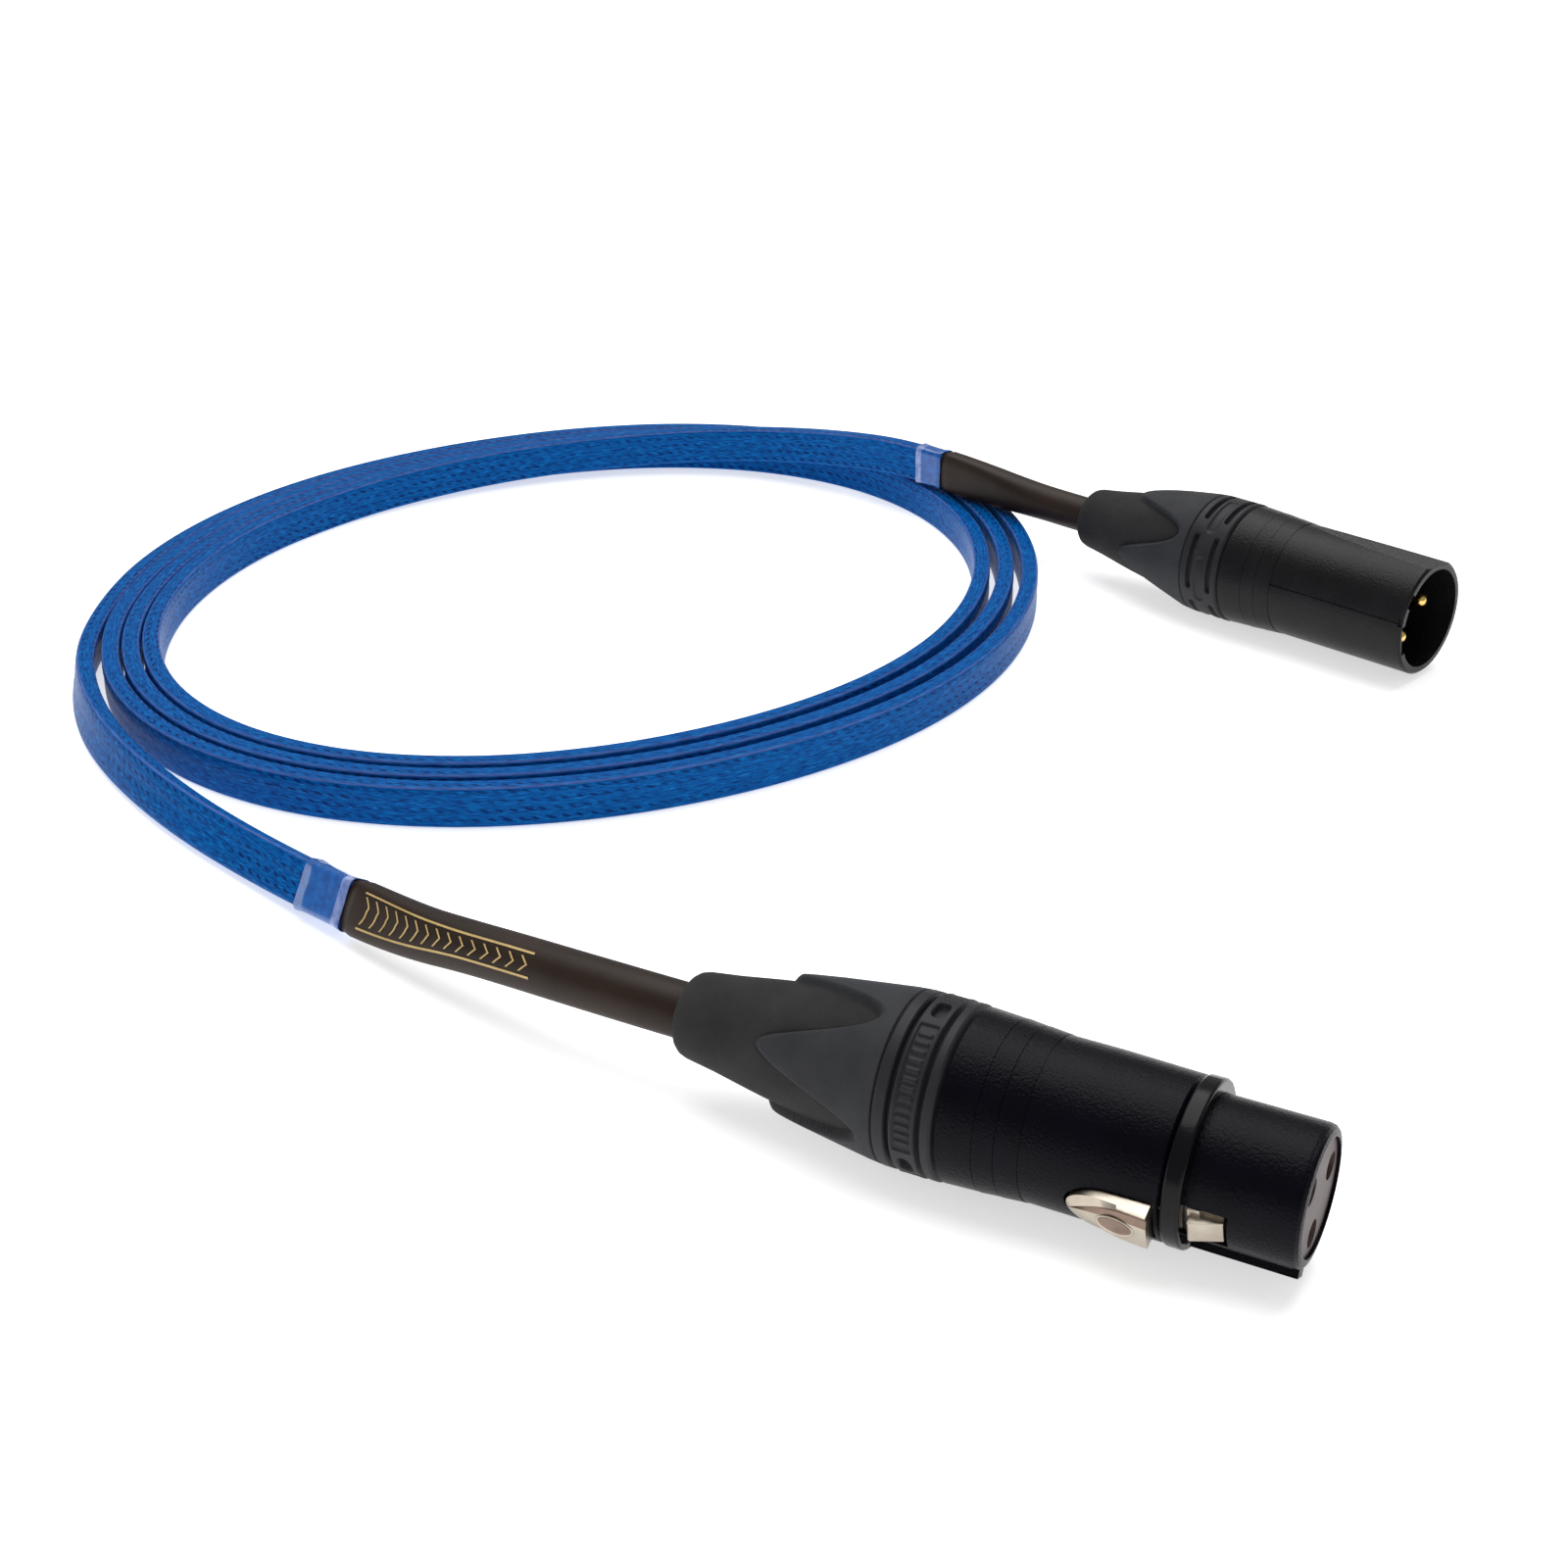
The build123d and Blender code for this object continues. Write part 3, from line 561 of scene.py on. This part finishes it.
def make_band(name, node, start, length, direction):
    """Clear band round the flat cable, with a rolled lip at each end, coloured paler as a painted
    highlight.
    """
    end = start
    while abs(TRAVEL[end] - TRAVEL[start]) < length:
        end += direction
    indices = range(min(start, end), max(start, end) + 1)
    low, high = TRAVEL[indices[0]], TRAVEL[indices[-1]]

    def outline_at(index):
        first_lip = 1 - smooth_step(TRAVEL[index], low, low + BAND_LIP_FADE)
        last_lip = smooth_step(TRAVEL[index], high - BAND_LIP_FADE, high)
        grow = BAND_GROW + BAND_LIP_RISE * max(first_lip, last_lip)
        return ribbon_outline(grow, groove=BAND_GROOVE)

    rows, uvs = swept_rows(indices, outline_at)
    piece = grid_piece(name, rows, uvs, BAND, "root")
    # Faces near either end take the paler lip colour: painted highlight.
    piece.data.materials.append(BAND_LIP_HIGHLIGHT)
    round_it = len(rows[0])
    for index, face in enumerate(piece.data.polygons):
        place = TRAVEL[indices[index // round_it]]
        face.material_index = int(min(place - low, high - place) < BAND_LIP_HIGHLIGHT_LENGTH)
    solid = piece.modifiers.new("wall", "SOLIDIFY")
    solid.thickness = BAND_WALL
    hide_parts(node)
    return piece


SLEEVE_RADIUS = 0.00345
SLEEVE_FLAT_WIDE = 0.0020
SLEEVE_FLAT_TALL = 0.00385
MALE_SLEEVE_THINNER = 0.0003
SLEEVE_INSIDE = 0.008
SLEEVE_ROUND_FROM = 0.001
SLEEVE_ROUND_AT = 0.026
SLEEVE_EDGE = 0.0005
SLEEVE_EDGE_DROP = 0.00030
SLEEVE_SIDES = 56
SLEEVE_POWER = 3.6
SLEEVE_POWER_LOSS = 1.6
SLEEVE_MOUTH = 0.5


def sleeve_section(distance, thin, angle):
    """Point of a sleeve's section, at a distance from its flat end; a negative thin enlarges it."""
    roundness = smooth_step(distance, SLEEVE_ROUND_FROM, SLEEVE_ROUND_AT)
    lip = SLEEVE_EDGE_DROP * (1 - smooth_step(distance, 0.0, SLEEVE_EDGE))
    radius = SLEEVE_RADIUS - thin
    wide = SLEEVE_FLAT_WIDE + (radius - SLEEVE_FLAT_WIDE) * roundness - lip
    tall = SLEEVE_FLAT_TALL + (radius - SLEEVE_FLAT_TALL) * roundness - lip
    if thin < 0:
        wide, tall = wide - thin, tall - thin
    power = 2 / (SLEEVE_POWER - SLEEVE_POWER_LOSS * roundness)
    across = abs(cos(radians(angle))) ** power * (1 if cos(radians(angle)) >= 0 else -1)
    upward = abs(sin(radians(angle))) ** power * (1 if sin(radians(angle)) >= 0 else -1)
    return wide * across, tall * upward


def make_sleeve(name, nodes_hidden, indices, thin):
    """Heat-shrunk sleeve: drawn down to the flat cable at one end and round inside the boot."""
    flat_end = indices[0]

    def outline_at(index):
        distance = abs(TRAVEL[index] - TRAVEL[flat_end])
        angles = [360 * side / SLEEVE_SIDES for side in range(SLEEVE_SIDES)]
        return [sleeve_section(distance, thin, angle) for angle in angles]

    rows, uvs = swept_rows(indices, outline_at)
    inside = (LINE[indices[-1]] - LINE[indices[-2]]).normalized() * SLEEVE_INSIDE
    rows.append([point + inside for point in rows[-1]])
    uvs.append(uvs[-1])
    cap = sum(rows[0], Vector()) / len(rows[0])
    rows = [[cap + (point - cap) * SLEEVE_MOUTH for point in rows[0]]] + rows
    uvs = uvs[:1] + uvs
    piece = grid_piece(name, rows, uvs, SLEEVE, "root")
    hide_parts(*nodes_hidden)
    return piece


MARK_ANGLE = 176.0
MARK_HALF_ANGLE = 26.0
MARK_START = 0.0037
MARK_LENGTH = 0.0330
MARK_RULE = 0.0003
MARK_LIFT = 0.00004
MARK_THICK = 0.00004
MARK_STEPS = 24
CHEVRONS = 15
CHEVRON_REACH = 0.62
CHEVRON_TIP = 0.75
CHEVRON_LENGTH = 0.5


def mark_point(distance, angle):
    """Point just above the female sleeve, from its flat end and round it."""
    target = TRAVEL[FEMALE_END] - distance
    index = min(range(FEMALE_END + 1), key=lambda place: abs(TRAVEL[place] - target))
    after = index - 1 if TRAVEL[index] > target else index + 1
    share = (target - TRAVEL[index]) / (TRAVEL[after] - TRAVEL[index])
    roll = cable_roll(index)
    side, up = cross_axes(index, roll)
    middle = LINE[index].lerp(LINE[after], share) + lift_for(index, roll)
    across, upward = sleeve_section(distance, -MARK_LIFT, angle)
    return middle + side * across + up * upward


def mark_strip(verts, faces, start, end, width_along, width_round):
    """Thin printed strip between two (distance, angle) places on the sleeve."""
    first = len(verts)
    for step in range(MARK_STEPS + 1):
        share = step / MARK_STEPS
        distance = start[0] + (end[0] - start[0]) * share
        angle = start[1] + (end[1] - start[1]) * share
        verts.append(mark_point(distance - width_along, angle - width_round))
        verts.append(mark_point(distance + width_along, angle + width_round))
    for step in range(MARK_STEPS):
        place = first + 2 * step
        faces.append((place, place + 1, place + 3, place + 2))


def make_marks():
    """Plain gold ornament: two long rules with a row of chevrons between them."""
    verts = []
    faces = []
    rule = MARK_RULE / 2 / SLEEVE_RADIUS * 180 / pi
    end = MARK_START + MARK_LENGTH
    for edge in (MARK_ANGLE - MARK_HALF_ANGLE, MARK_ANGLE + MARK_HALF_ANGLE):
        mark_strip(verts, faces, (MARK_START, edge), (end, edge), 0.0, rule)
    inner = MARK_HALF_ANGLE * CHEVRON_REACH
    step = MARK_LENGTH / CHEVRONS
    for index in range(CHEVRONS):
        tip = MARK_START + step * (index + CHEVRON_TIP)
        back = tip - step * CHEVRON_LENGTH
        for side in (-inner, inner):
            start = (back, MARK_ANGLE + side)
            mark_strip(verts, faces, start, (tip, MARK_ANGLE), MARK_RULE / 2, 0.0)
    mesh = bpy.data.meshes.new("sleeve_marks")
    mesh.from_pydata(verts, [], faces)
    mesh.materials.append(PRINT)
    piece = bpy.data.objects.new("sleeve_marks", mesh)
    bpy.context.scene.collection.objects.link(piece)
    solid = piece.modifiers.new("ink", "SOLIDIFY")
    solid.thickness = MARK_THICK
    solid.offset = 0.0
    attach(piece, "root")


flat_cable = make_ribbon()
female_band = make_band("female_band", "female_end_collar", FEMALE_END, FEMALE_BAND_LENGTH, 1)
male_band = make_band("male_band", "male_end_collar", MALE_END, MALE_BAND_LENGTH, -1)
make_sleeve("female_sleeve_skin", ("female_sleeve", "female_cable_core"),
            range(FEMALE_END, -1, -1), 0.0)
make_sleeve("male_sleeve_skin", ("male_sleeve", "male_cable_core"),
            range(MALE_END, len(LINE)), MALE_SLEEVE_THINNER)
make_marks()


# --- plugs: places are given by a radius, an angle and a distance from the boot's rear, in mm -----
class Plug:
    """Frame of one plug: along its axis, to its left and up."""

    def __init__(self, rear, azimuth):
        turn = radians(azimuth)
        self.rear = from_coil(rear)
        self.along = Vector((cos(turn), sin(turn), 0))
        self.left = Vector((-sin(turn), cos(turn), 0))
        self.up = Vector((0, 0, 1))

    def at(self, radius, angle, distance):
        out = self.left * cos(radians(angle)) + self.up * sin(radians(angle))
        return self.rear + (self.along * distance + out * radius) * MM


FEMALE = Plug(FEMALE_REAR, FEMALE_AZIMUTH)
MALE = Plug(MALE_REAR, MALE_AZIMUTH)


def turned_piece(name, plug, stations, radius_at, columns, material, body):
    """Surface round a plug's axis; a station has a fixed radius, or None to ask radius_at."""
    rows = []
    uvs = []
    for distance, inner in stations:
        row = []
        for side in range(columns):
            angle = 360 * side / columns
            radius = inner if inner is not None else radius_at(distance, angle)
            row.append(plug.at(radius, angle, distance))
        rows.append(row)
        uvs.append([(distance * 0.01, side / columns) for side in range(columns + 1)])
    return grid_piece(name, rows, uvs, material, body)


def stations_between(low, high, step):
    count = round((high - low) / step)
    return [(low + (high - low) * index / count, None) for index in range(count + 1)]


# --- boots ----------------------------------------------------------------------------------------
BOOT_END = 28.5
BOOT_CONE = [(0.0, 4.3), (0.25, 4.75), (0.7, 5.1), (1.5, 5.35), (5.3, 5.87), (10.5, 6.75),
             (13.1, 7.15), (20.0, 8.1), (BOOT_END, 9.2)]
BOOT_LOBES = [(10.0, 7.55), (14.6, 8.4), (18.2, 8.97), (23.2, 9.65), (27.0, 10.15),
              (BOOT_END, 10.28)]
LOBES = 4
FEMALE_FIRST_LOBE = 62.0
MALE_FIRST_LOBE = 10.0
MALE_BOOT_SHRINK = 0.9
LOBE_MIDDLE = 19.0
LOBE_REACH = 6.8
LOBE_SLOPE = 1.1
LOBE_DIP = 0.14
LOBE_DIP_REACH = 0.45
BOOT_COLUMNS = 320
BOOT_MOUTH = [(4.0, 3.65), (0.6, 3.65), (0.15, 3.8), (0.0, 4.1)]
BOOT_REAR = [0.0, 0.12, 0.25, 0.45, 0.7, 1.1]
BOOT_EVEN_FROM = 1.5
BOOT_EDGE = 0.15
BOOT_STEP = 0.2
BOOT_INSIDE = 8.0


def past_lobe_edge(distance, angle, first_lobe):
    """How far a place on the boot is in front of the waving rear edge of its lobes."""
    return distance - LOBE_MIDDLE + LOBE_REACH * cos(radians(LOBES * (angle - first_lobe)))


def boot_radius(first_lobe, shrink):
    """Radius by place for a boot with its length times shrink, measured from its front."""

    def radius_at(shown, angle):
        distance = BOOT_END - (BOOT_END - shown) / shrink
        past = past_lobe_edge(distance, angle, first_lobe)
        raised = sin(pi / 2 * min(1.0, max(0.0, past / LOBE_SLOPE)))
        cone = blend_between(BOOT_CONE, distance)
        dip = LOBE_DIP * exp(-(past / LOBE_DIP_REACH) ** 2) * (1 - raised)
        return cone - dip + (blend_between(BOOT_LOBES, distance) - cone) * raised
    return radius_at


def make_boot(name, node, plug, first_lobe, shrink, body):
    """Cone with raised lobes; shrink draws its rear in and leaves its front where it is."""
    rear = [(distance, None) for distance in BOOT_REAR]
    cone = stations_between(BOOT_EVEN_FROM, BOOT_END - BOOT_EDGE, BOOT_STEP)
    stations = BOOT_MOUTH + rear + cone + [(BOOT_END, None), (BOOT_END, BOOT_INSIDE)]
    shown = [(BOOT_END - (BOOT_END - distance) * shrink, inner) for distance, inner in stations]
    radius_at = boot_radius(first_lobe, shrink)
    piece = turned_piece(name, plug, shown, radius_at, BOOT_COLUMNS, BOOT, body)
    piece.data.materials.append(BOOT_WELL_SHADE)
    # Faces behind the lobes' rear edge take the darker, rougher rubber; the darker colour is
    # painted shade.
    for index, face in enumerate(piece.data.polygons):
        distance = stations[index // BOOT_COLUMNS][0]
        angle = 360 * (index % BOOT_COLUMNS) / BOOT_COLUMNS
        face.material_index = int(past_lobe_edge(distance, angle, first_lobe) < 0)
    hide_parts(node)
    return piece


make_boot("female_boot_skin", "female_boot", FEMALE,
          FEMALE_FIRST_LOBE, 1.0, "female_backend")
make_boot("male_boot_skin", "male_boot", MALE,
          MALE_FIRST_LOBE, MALE_BOOT_SHRINK, "male_backend")


# --- bushings -------------------------------------------------------------------------------------
BUSHING_START = 28.6
BUSHING_EDGE = 35.85
BUSHING_RADIUS = 10.33
BUSHING_COLUMNS = 540
BUSHING_STEP = 0.09
BUSHING_REAR_INSIDE = 8.5
BUSHING_INSIDE = 9.3
BUSHING_INNER_END = 36.3
EDGE_DROP = 0.25
EDGE_REACH = 0.35
CREASE = 0.05
FEMALE_GROOVES = [(30.2, 30.85), (34.0, 34.6)]
GROOVE_DEPTH = 1.1
FEMALE_HOLE = 32.42
FEMALE_HOLE_ANGLE = 91.0
FEMALE_HOLE_HALVES = (0.8, 1.5)
FEMALE_PAD_ANGLE = 31.0
PADS = 3
PAD_SOFT = 0.07
FRAME_SPAN = (31.0, 33.85)
FRAME_HALF = 8.2
FRAME_RISE = 0.08
FLOOR_SPAN = (31.3, 33.55)
FLOOR_HALF = 7.9
FLOOR_DEPTH = 0.28
BARS_SPAN = (31.6, 33.25)
BARS_HALF = 7.2
BAR_PITCH = 1.1
BAR_PART = (0.30, 0.80)
BAR_RISE = 0.22
SLOT_DEPTH = 0.9
MALE_SLOT_ROWS = (30.45, 34.35)
MALE_SLOT_ANGLE = 96.4
MALE_SLOT_HALVES = (0.46, 5.05)
MALE_RECESS = 32.4
MALE_RECESS_ANGLE = 186.0
MALE_RECESS_HALVES = (0.8, 4.2)
MALE_RECESS_DEPTH = 0.3
MALE_RECESS_SOFT = 0.2
MALE_SLOTS = 5


def within(value, low, high, soft):
    """1 inside a range, 0 outside, with soft edges."""
    rise = smooth_step(value, low - soft, low + soft)
    fall = smooth_step(value, high - soft, high + soft)
    return rise * (1 - fall)


def angle_from(angle, middle, repeats):
    """Signed angle from the nearest of the evenly repeated middles."""
    period = 360 / repeats
    return (angle - middle + period / 2) % period - period / 2


def rounded_slot(distance, sweep, middle, half_width, half_sweep, soft=0.08):
    """Depth share of a slot with round ends that runs round the collar."""
    beyond = max(0.0, abs(sweep) - (half_sweep - half_width))
    return 1 - smooth_step(hypot(distance - middle, beyond), half_width - soft, half_width + soft)


def edge_round(distance):
    near = min(distance - BUSHING_START, BUSHING_EDGE - distance)
    return EDGE_DROP * (1 - smooth_step(near, 0.0, EDGE_REACH))


def female_grip(distance, angle):
    """Two grooves all round; between them, oval holes and framed pads with plain bars."""
    radius = BUSHING_RADIUS - edge_round(distance)
    for low, high in FEMALE_GROOVES:
        radius -= GROOVE_DEPTH * within(distance, low, high, CREASE)
    sweep = radians(angle_from(angle, FEMALE_HOLE_ANGLE, PADS)) * BUSHING_RADIUS
    radius -= SLOT_DEPTH * rounded_slot(distance, sweep, FEMALE_HOLE, *FEMALE_HOLE_HALVES)
    pad = radians(angle_from(angle, FEMALE_PAD_ANGLE, PADS)) * BUSHING_RADIUS
    outer = within(distance, *FRAME_SPAN, CREASE) * within(pad, -FRAME_HALF, FRAME_HALF, PAD_SOFT)
    inner = within(distance, *FLOOR_SPAN, CREASE) * within(pad, -FLOOR_HALF, FLOOR_HALF, PAD_SOFT)
    bar = within((pad + BAR_PITCH / 2) % BAR_PITCH, *BAR_PART, 0.09)
    bar *= within(distance, *BARS_SPAN, 0.12)
    bar *= within(pad, -BARS_HALF, BARS_HALF, 0.1)
    return radius + FRAME_RISE * outer - FLOOR_DEPTH * inner + BAR_RISE * bar


def male_grip(distance, angle):
    """Two rows of round-ended slots, with a shallow recess between them."""
    radius = BUSHING_RADIUS - edge_round(distance)
    sweep = radians(angle_from(angle, MALE_SLOT_ANGLE, MALE_SLOTS)) * BUSHING_RADIUS
    for middle in MALE_SLOT_ROWS:
        radius -= SLOT_DEPTH * rounded_slot(distance, sweep, middle, *MALE_SLOT_HALVES)
    recess = radians(angle_from(angle, MALE_RECESS_ANGLE, MALE_SLOTS)) * BUSHING_RADIUS
    share = rounded_slot(distance, recess, MALE_RECESS, *MALE_RECESS_HALVES, MALE_RECESS_SOFT)
    return radius - MALE_RECESS_DEPTH * share


def make_bushing(name, node, plug, grip, body):
    stations = [(BUSHING_START, BUSHING_REAR_INSIDE)]
    stations += stations_between(BUSHING_START, BUSHING_EDGE, BUSHING_STEP)
    stations += [(BUSHING_EDGE, BUSHING_INSIDE), (BUSHING_INNER_END, BUSHING_INSIDE)]
    piece = turned_piece(name, plug, stations, grip, BUSHING_COLUMNS, BUSHING, body)
    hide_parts(node)
    return piece


make_bushing("female_bushing_skin", "female_bushing", FEMALE, female_grip, "female_backend")
make_bushing("male_bushing_skin", "male_bushing", MALE, male_grip, "male_backend")


# --- latch ----------------------------------------------------------------------------------------
LATCH_ANGLE = 199.0
BUTTON_MIDDLE = 56.0
BUTTON_NOSE = 4.4
BUTTON_REAR = BUTTON_MIDDLE - BUTTON_NOSE
BUTTON_END = 61.0
BUTTON_SIDES = (59.3, 57.6)
BUTTON_HALF = 2.8
BUTTON_LOW = 6.9
BUTTON_SHOULDER = 9.75
BUTTON_TOP = 10.75
NOSE_STEPS = 32
SHOULDER_SLOPE = 0.05
TOP_CROWN = 0.05
TOP_FALL = 0.5
RIDGE_START = 52.1
RIDGE_FULL = 58.2
RIDGE_INSET = 0.12
RIDGE_CURVE = 1.5
# Rings of the top face inside its ridge: share of the width, and how deep the hollow is.
TOP_LEVELS = [(0.66, 0.34), (0.30, 0.0), (0.0, 0.0)]
SIDE_LEVELS = 3
SHADED_HOLLOW_LEVELS = (2, 3)
WELD_GAP = 0.000002
LATCH_BAR = [(6.0, 48.9), (7.2, 48.9), (7.2, 68.4), (6.0, 68.4)]
LATCH_HOOK = [(7.0, 64.8), (8.8, 64.8), (8.95, 65.1), (7.75, 68.5), (7.0, 68.6)]
LATCH_NECK = [(6.5, 64.5), (7.9, 64.5), (7.9, 66.0), (6.5, 66.0)]
MEDAL_MIDDLE = 57.4
MEDAL_LONG = 2.2
MEDAL_WIDE = 1.5
MEDAL_ASIDE = 0.45
MEDAL_STEPS = 48
# Rings of the plate: share of its size, and height above the button's top.
MEDAL_RINGS = [(1.0, -0.05), (1.0, 0.12), (0.97, 0.16), (0.91, 0.16),
               (0.87, 0.07), (0.60, 0.07), (0.02, 0.09)]
MEDAL_RIM_RINGS = 4


def at_latch(out, aside, distance):
    """Place by the latch: out from the plug's axis, sideways, and along the plug, in mm."""
    turn = radians(LATCH_ANGLE)
    outward = FEMALE.left * cos(turn) + FEMALE.up * sin(turn)
    sideways = FEMALE.up * cos(turn) - FEMALE.left * sin(turn)
    return FEMALE.rear + (FEMALE.along * distance + outward * out + sideways * aside) * MM


def button_outline():
    """Half an ellipse at the rear and straight sides to the square front, as (aside, distance)."""
    points = [(BUTTON_HALF, distance) for distance in (BUTTON_END, *BUTTON_SIDES)]
    for step in range(NOSE_STEPS + 1):
        turn = pi * step / NOSE_STEPS
        points.append((BUTTON_HALF * cos(turn), BUTTON_MIDDLE - BUTTON_NOSE * sin(turn)))
    return points + [(-BUTTON_HALF, distance) for distance in (*reversed(BUTTON_SIDES), BUTTON_END)]


def ridge_point(aside, distance):
    """Where a point of the button's outline meets the top face, which narrows to the rear."""
    run = BUTTON_END - BUTTON_REAR
    place = RIDGE_START + (distance - BUTTON_REAR) * (BUTTON_END - RIDGE_START) / run
    share = min(1.0, max(0.0, (RIDGE_FULL - place) / (RIDGE_FULL - RIDGE_START)))
    half = (BUTTON_HALF - RIDGE_INSET) * (1 - share ** RIDGE_CURVE)
    return (half if aside > 0 else -half), place


def button_top(distance):
    """The top face rises towards the front."""
    behind = TOP_FALL * (BUTTON_END - distance) / (BUTTON_END - RIDGE_START)
    return BUTTON_TOP - TOP_CROWN - behind


def plain_mesh(name, verts, faces, material, body, bevel=0.0):
    mesh = bpy.data.meshes.new(name)
    mesh.from_pydata(verts, [], faces)
    mesh.shade_smooth()
    mesh.materials.append(material)
    piece = bpy.data.objects.new(name, mesh)
    bpy.context.scene.collection.objects.link(piece)
    if bevel:
        rounding = piece.modifiers.new("rounding", "BEVEL")
        rounding.width = bevel
        rounding.segments = 3
        rounding.limit_method = "ANGLE"
        rounding.angle_limit = radians(25)
        rounding.harden_normals = True
    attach(piece, body)
    return piece


def make_button():
    """Button with a hollow along one side of its top face, coloured darker as painted shade."""
    outline = button_outline()
    count = len(outline)
    verts = [at_latch(BUTTON_LOW, aside, distance) for aside, distance in outline]
    for aside, distance in outline:
        shoulder = BUTTON_SHOULDER + SHOULDER_SLOPE * (distance - BUTTON_REAR)
        verts.append(at_latch(shoulder, aside, distance))
    ridge = [ridge_point(aside, distance) for aside, distance in outline]
    verts += [at_latch(button_top(distance), aside, distance) for aside, distance in ridge]
    for share, dip in TOP_LEVELS:
        for aside, distance in ridge:
            hollow = dip if aside < 0 else 0.0
            out = button_top(distance) + TOP_CROWN * (1 - share) - hollow
            verts.append(at_latch(out, aside * share, distance))
    levels = SIDE_LEVELS + len(TOP_LEVELS)
    faces = []
    for level in range(levels - 1):
        for index in range(count - 1):
            low = level * count + index
            faces.append((low, low + 1, low + count + 1, low + count))
    front = [level * count for level in range(levels)]
    faces.append(front + [level * count + count - 1 for level in range(levels - 2, -1, -1)])
    piece = plain_mesh("latch_button", verts, faces, NICKEL, "latch", 0.00012)
    # Faces of the hollow take the darker nickel: painted shade.
    piece.data.materials.append(NICKEL_SHADE)
    for index, face in enumerate(piece.data.polygons):
        level, column = divmod(index, count - 1)
        face.material_index = int(level in SHADED_HOLLOW_LEVELS and column >= count // 2)
    weld = piece.modifiers.new("weld", "WELD")
    weld.merge_threshold = WELD_GAP
    piece.modifiers.move(1, 0)
    return piece


def make_block(name, outline, half, bevel, middle=0.0):
    """Bar across the plug with an (out, distance) outline."""
    count = len(outline)
    verts = [at_latch(out, middle + half, distance) for out, distance in outline]
    verts += [at_latch(out, middle - half, distance) for out, distance in outline]
    faces = [tuple(range(count)), tuple(range(2 * count - 1, count - 1, -1))]
    for index in range(count):
        after = (index + 1) % count
        faces.append((after, index, count + index, count + after))
    return plain_mesh(name, verts, faces, NICKEL, "latch", bevel)


def make_medallion():
    """Plain oval plate with a raised rim on the button; inside the rim it is coloured darker as
    painted shade.
    """
    rows = []
    uvs = []
    for share, lift in MEDAL_RINGS:
        row = []
        for step in range(MEDAL_STEPS):
            turn = 2 * pi * step / MEDAL_STEPS
            distance = MEDAL_MIDDLE + MEDAL_LONG * share * cos(turn)
            aside = MEDAL_WIDE * share * sin(turn) + MEDAL_ASIDE
            row.append(at_latch(button_top(distance) + lift, aside, distance))
        rows.append(row)
        uvs.append([(step / MEDAL_STEPS, share) for step in range(MEDAL_STEPS + 1)])
    piece = grid_piece("latch_medallion", rows, uvs, NICKEL, "latch", closed_ends=True)
    # The plate inside the rim takes the darker nickel: painted shade.
    piece.data.materials.append(NICKEL_SHADE)
    for index, face in enumerate(piece.data.polygons):
        face.material_index = int(index >= MEDAL_RIM_RINGS * MEDAL_STEPS)


def make_latch():
    button = make_button()
    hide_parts("latch_lever")
    make_block("latch_bar", LATCH_BAR, half=2.3, bevel=0.0001)
    make_block("latch_hook", LATCH_HOOK, half=1.6, bevel=0.00012)
    make_block("latch_neck", LATCH_NECK, half=0.5, bevel=0.0001, middle=-2.0)
    make_medallion()


make_latch()


# --- floor, light and camera ----------------------------------------------------------------------
FLOOR_REACH = 6.0
FLOOR_GLOW = 0.6


def make_floor():
    nodes = Nodes("floor_paper")
    place = nodes.place()
    shade = nodes.noise(place, 6.0, 3.0)
    nodes.link(nodes.ramp(shade, [(0.0, (0.93, 0.93, 0.93)), (1.0, (0.96, 0.96, 0.96))]),
               nodes.shader.inputs["Base Color"])
    nodes.put(Roughness=0.75, Specular_IOR_Level=0.2)
    nodes.put(Emission_Color=(1, 1, 1, 1), Emission_Strength=FLOOR_GLOW)
    mesh = bpy.data.meshes.new("floor")
    signs = [(-1, -1), (1, -1), (1, 1), (-1, 1)]
    corners = [(FLOOR_REACH * across, FLOOR_REACH * along, 0) for across, along in signs]
    mesh.from_pydata(corners, [], [(0, 1, 2, 3)])
    mesh.materials.append(nodes.material)
    floor = bpy.data.objects.new("floor", mesh)
    bpy.context.scene.collection.objects.link(floor)


CAMERA_PLACE = (0.22684, -0.25062, 0.16349)
CAMERA_PITCH = 27.356
CAMERA_HEADING = 42.8
CAMERA_LENS = 54.33
WORLD_LIGHT = 0.34
SUN_LIGHT = 2.4
SUN_ANGLE = 60.0
SUN_FROM = (-0.30, 0.22, 0.93)


def make_camera():
    data = bpy.data.cameras.new("camera")
    data.lens = CAMERA_LENS
    data.sensor_width = 36.0
    data.clip_start = 0.005
    data.clip_end = 30.0
    camera = bpy.data.objects.new("camera", data)
    bpy.context.scene.collection.objects.link(camera)
    camera.location = CAMERA_PLACE
    camera.rotation_euler = (radians(90 - CAMERA_PITCH), 0, radians(CAMERA_HEADING))
    bpy.context.scene.camera = camera


def make_world():
    world = bpy.data.worlds.new("studio")
    world.use_nodes = True
    background = world.node_tree.nodes["Background"]
    background.inputs["Color"].default_value = (1, 1, 1, 1)
    background.inputs["Strength"].default_value = WORLD_LIGHT
    bpy.context.scene.world = world


def make_sun():
    """Very soft light from above, a little behind and to the left."""
    data = bpy.data.lights.new("soft_overhead", "SUN")
    data.energy = SUN_LIGHT
    data.angle = radians(SUN_ANGLE)
    light = bpy.data.objects.new("soft_overhead", data)
    bpy.context.scene.collection.objects.link(light)
    light.rotation_euler = Vector(SUN_FROM).to_track_quat("Z", "Y").to_euler()


make_floor()
make_world()
make_sun()
make_camera()
bpy.context.scene.view_settings.view_transform = "Standard"
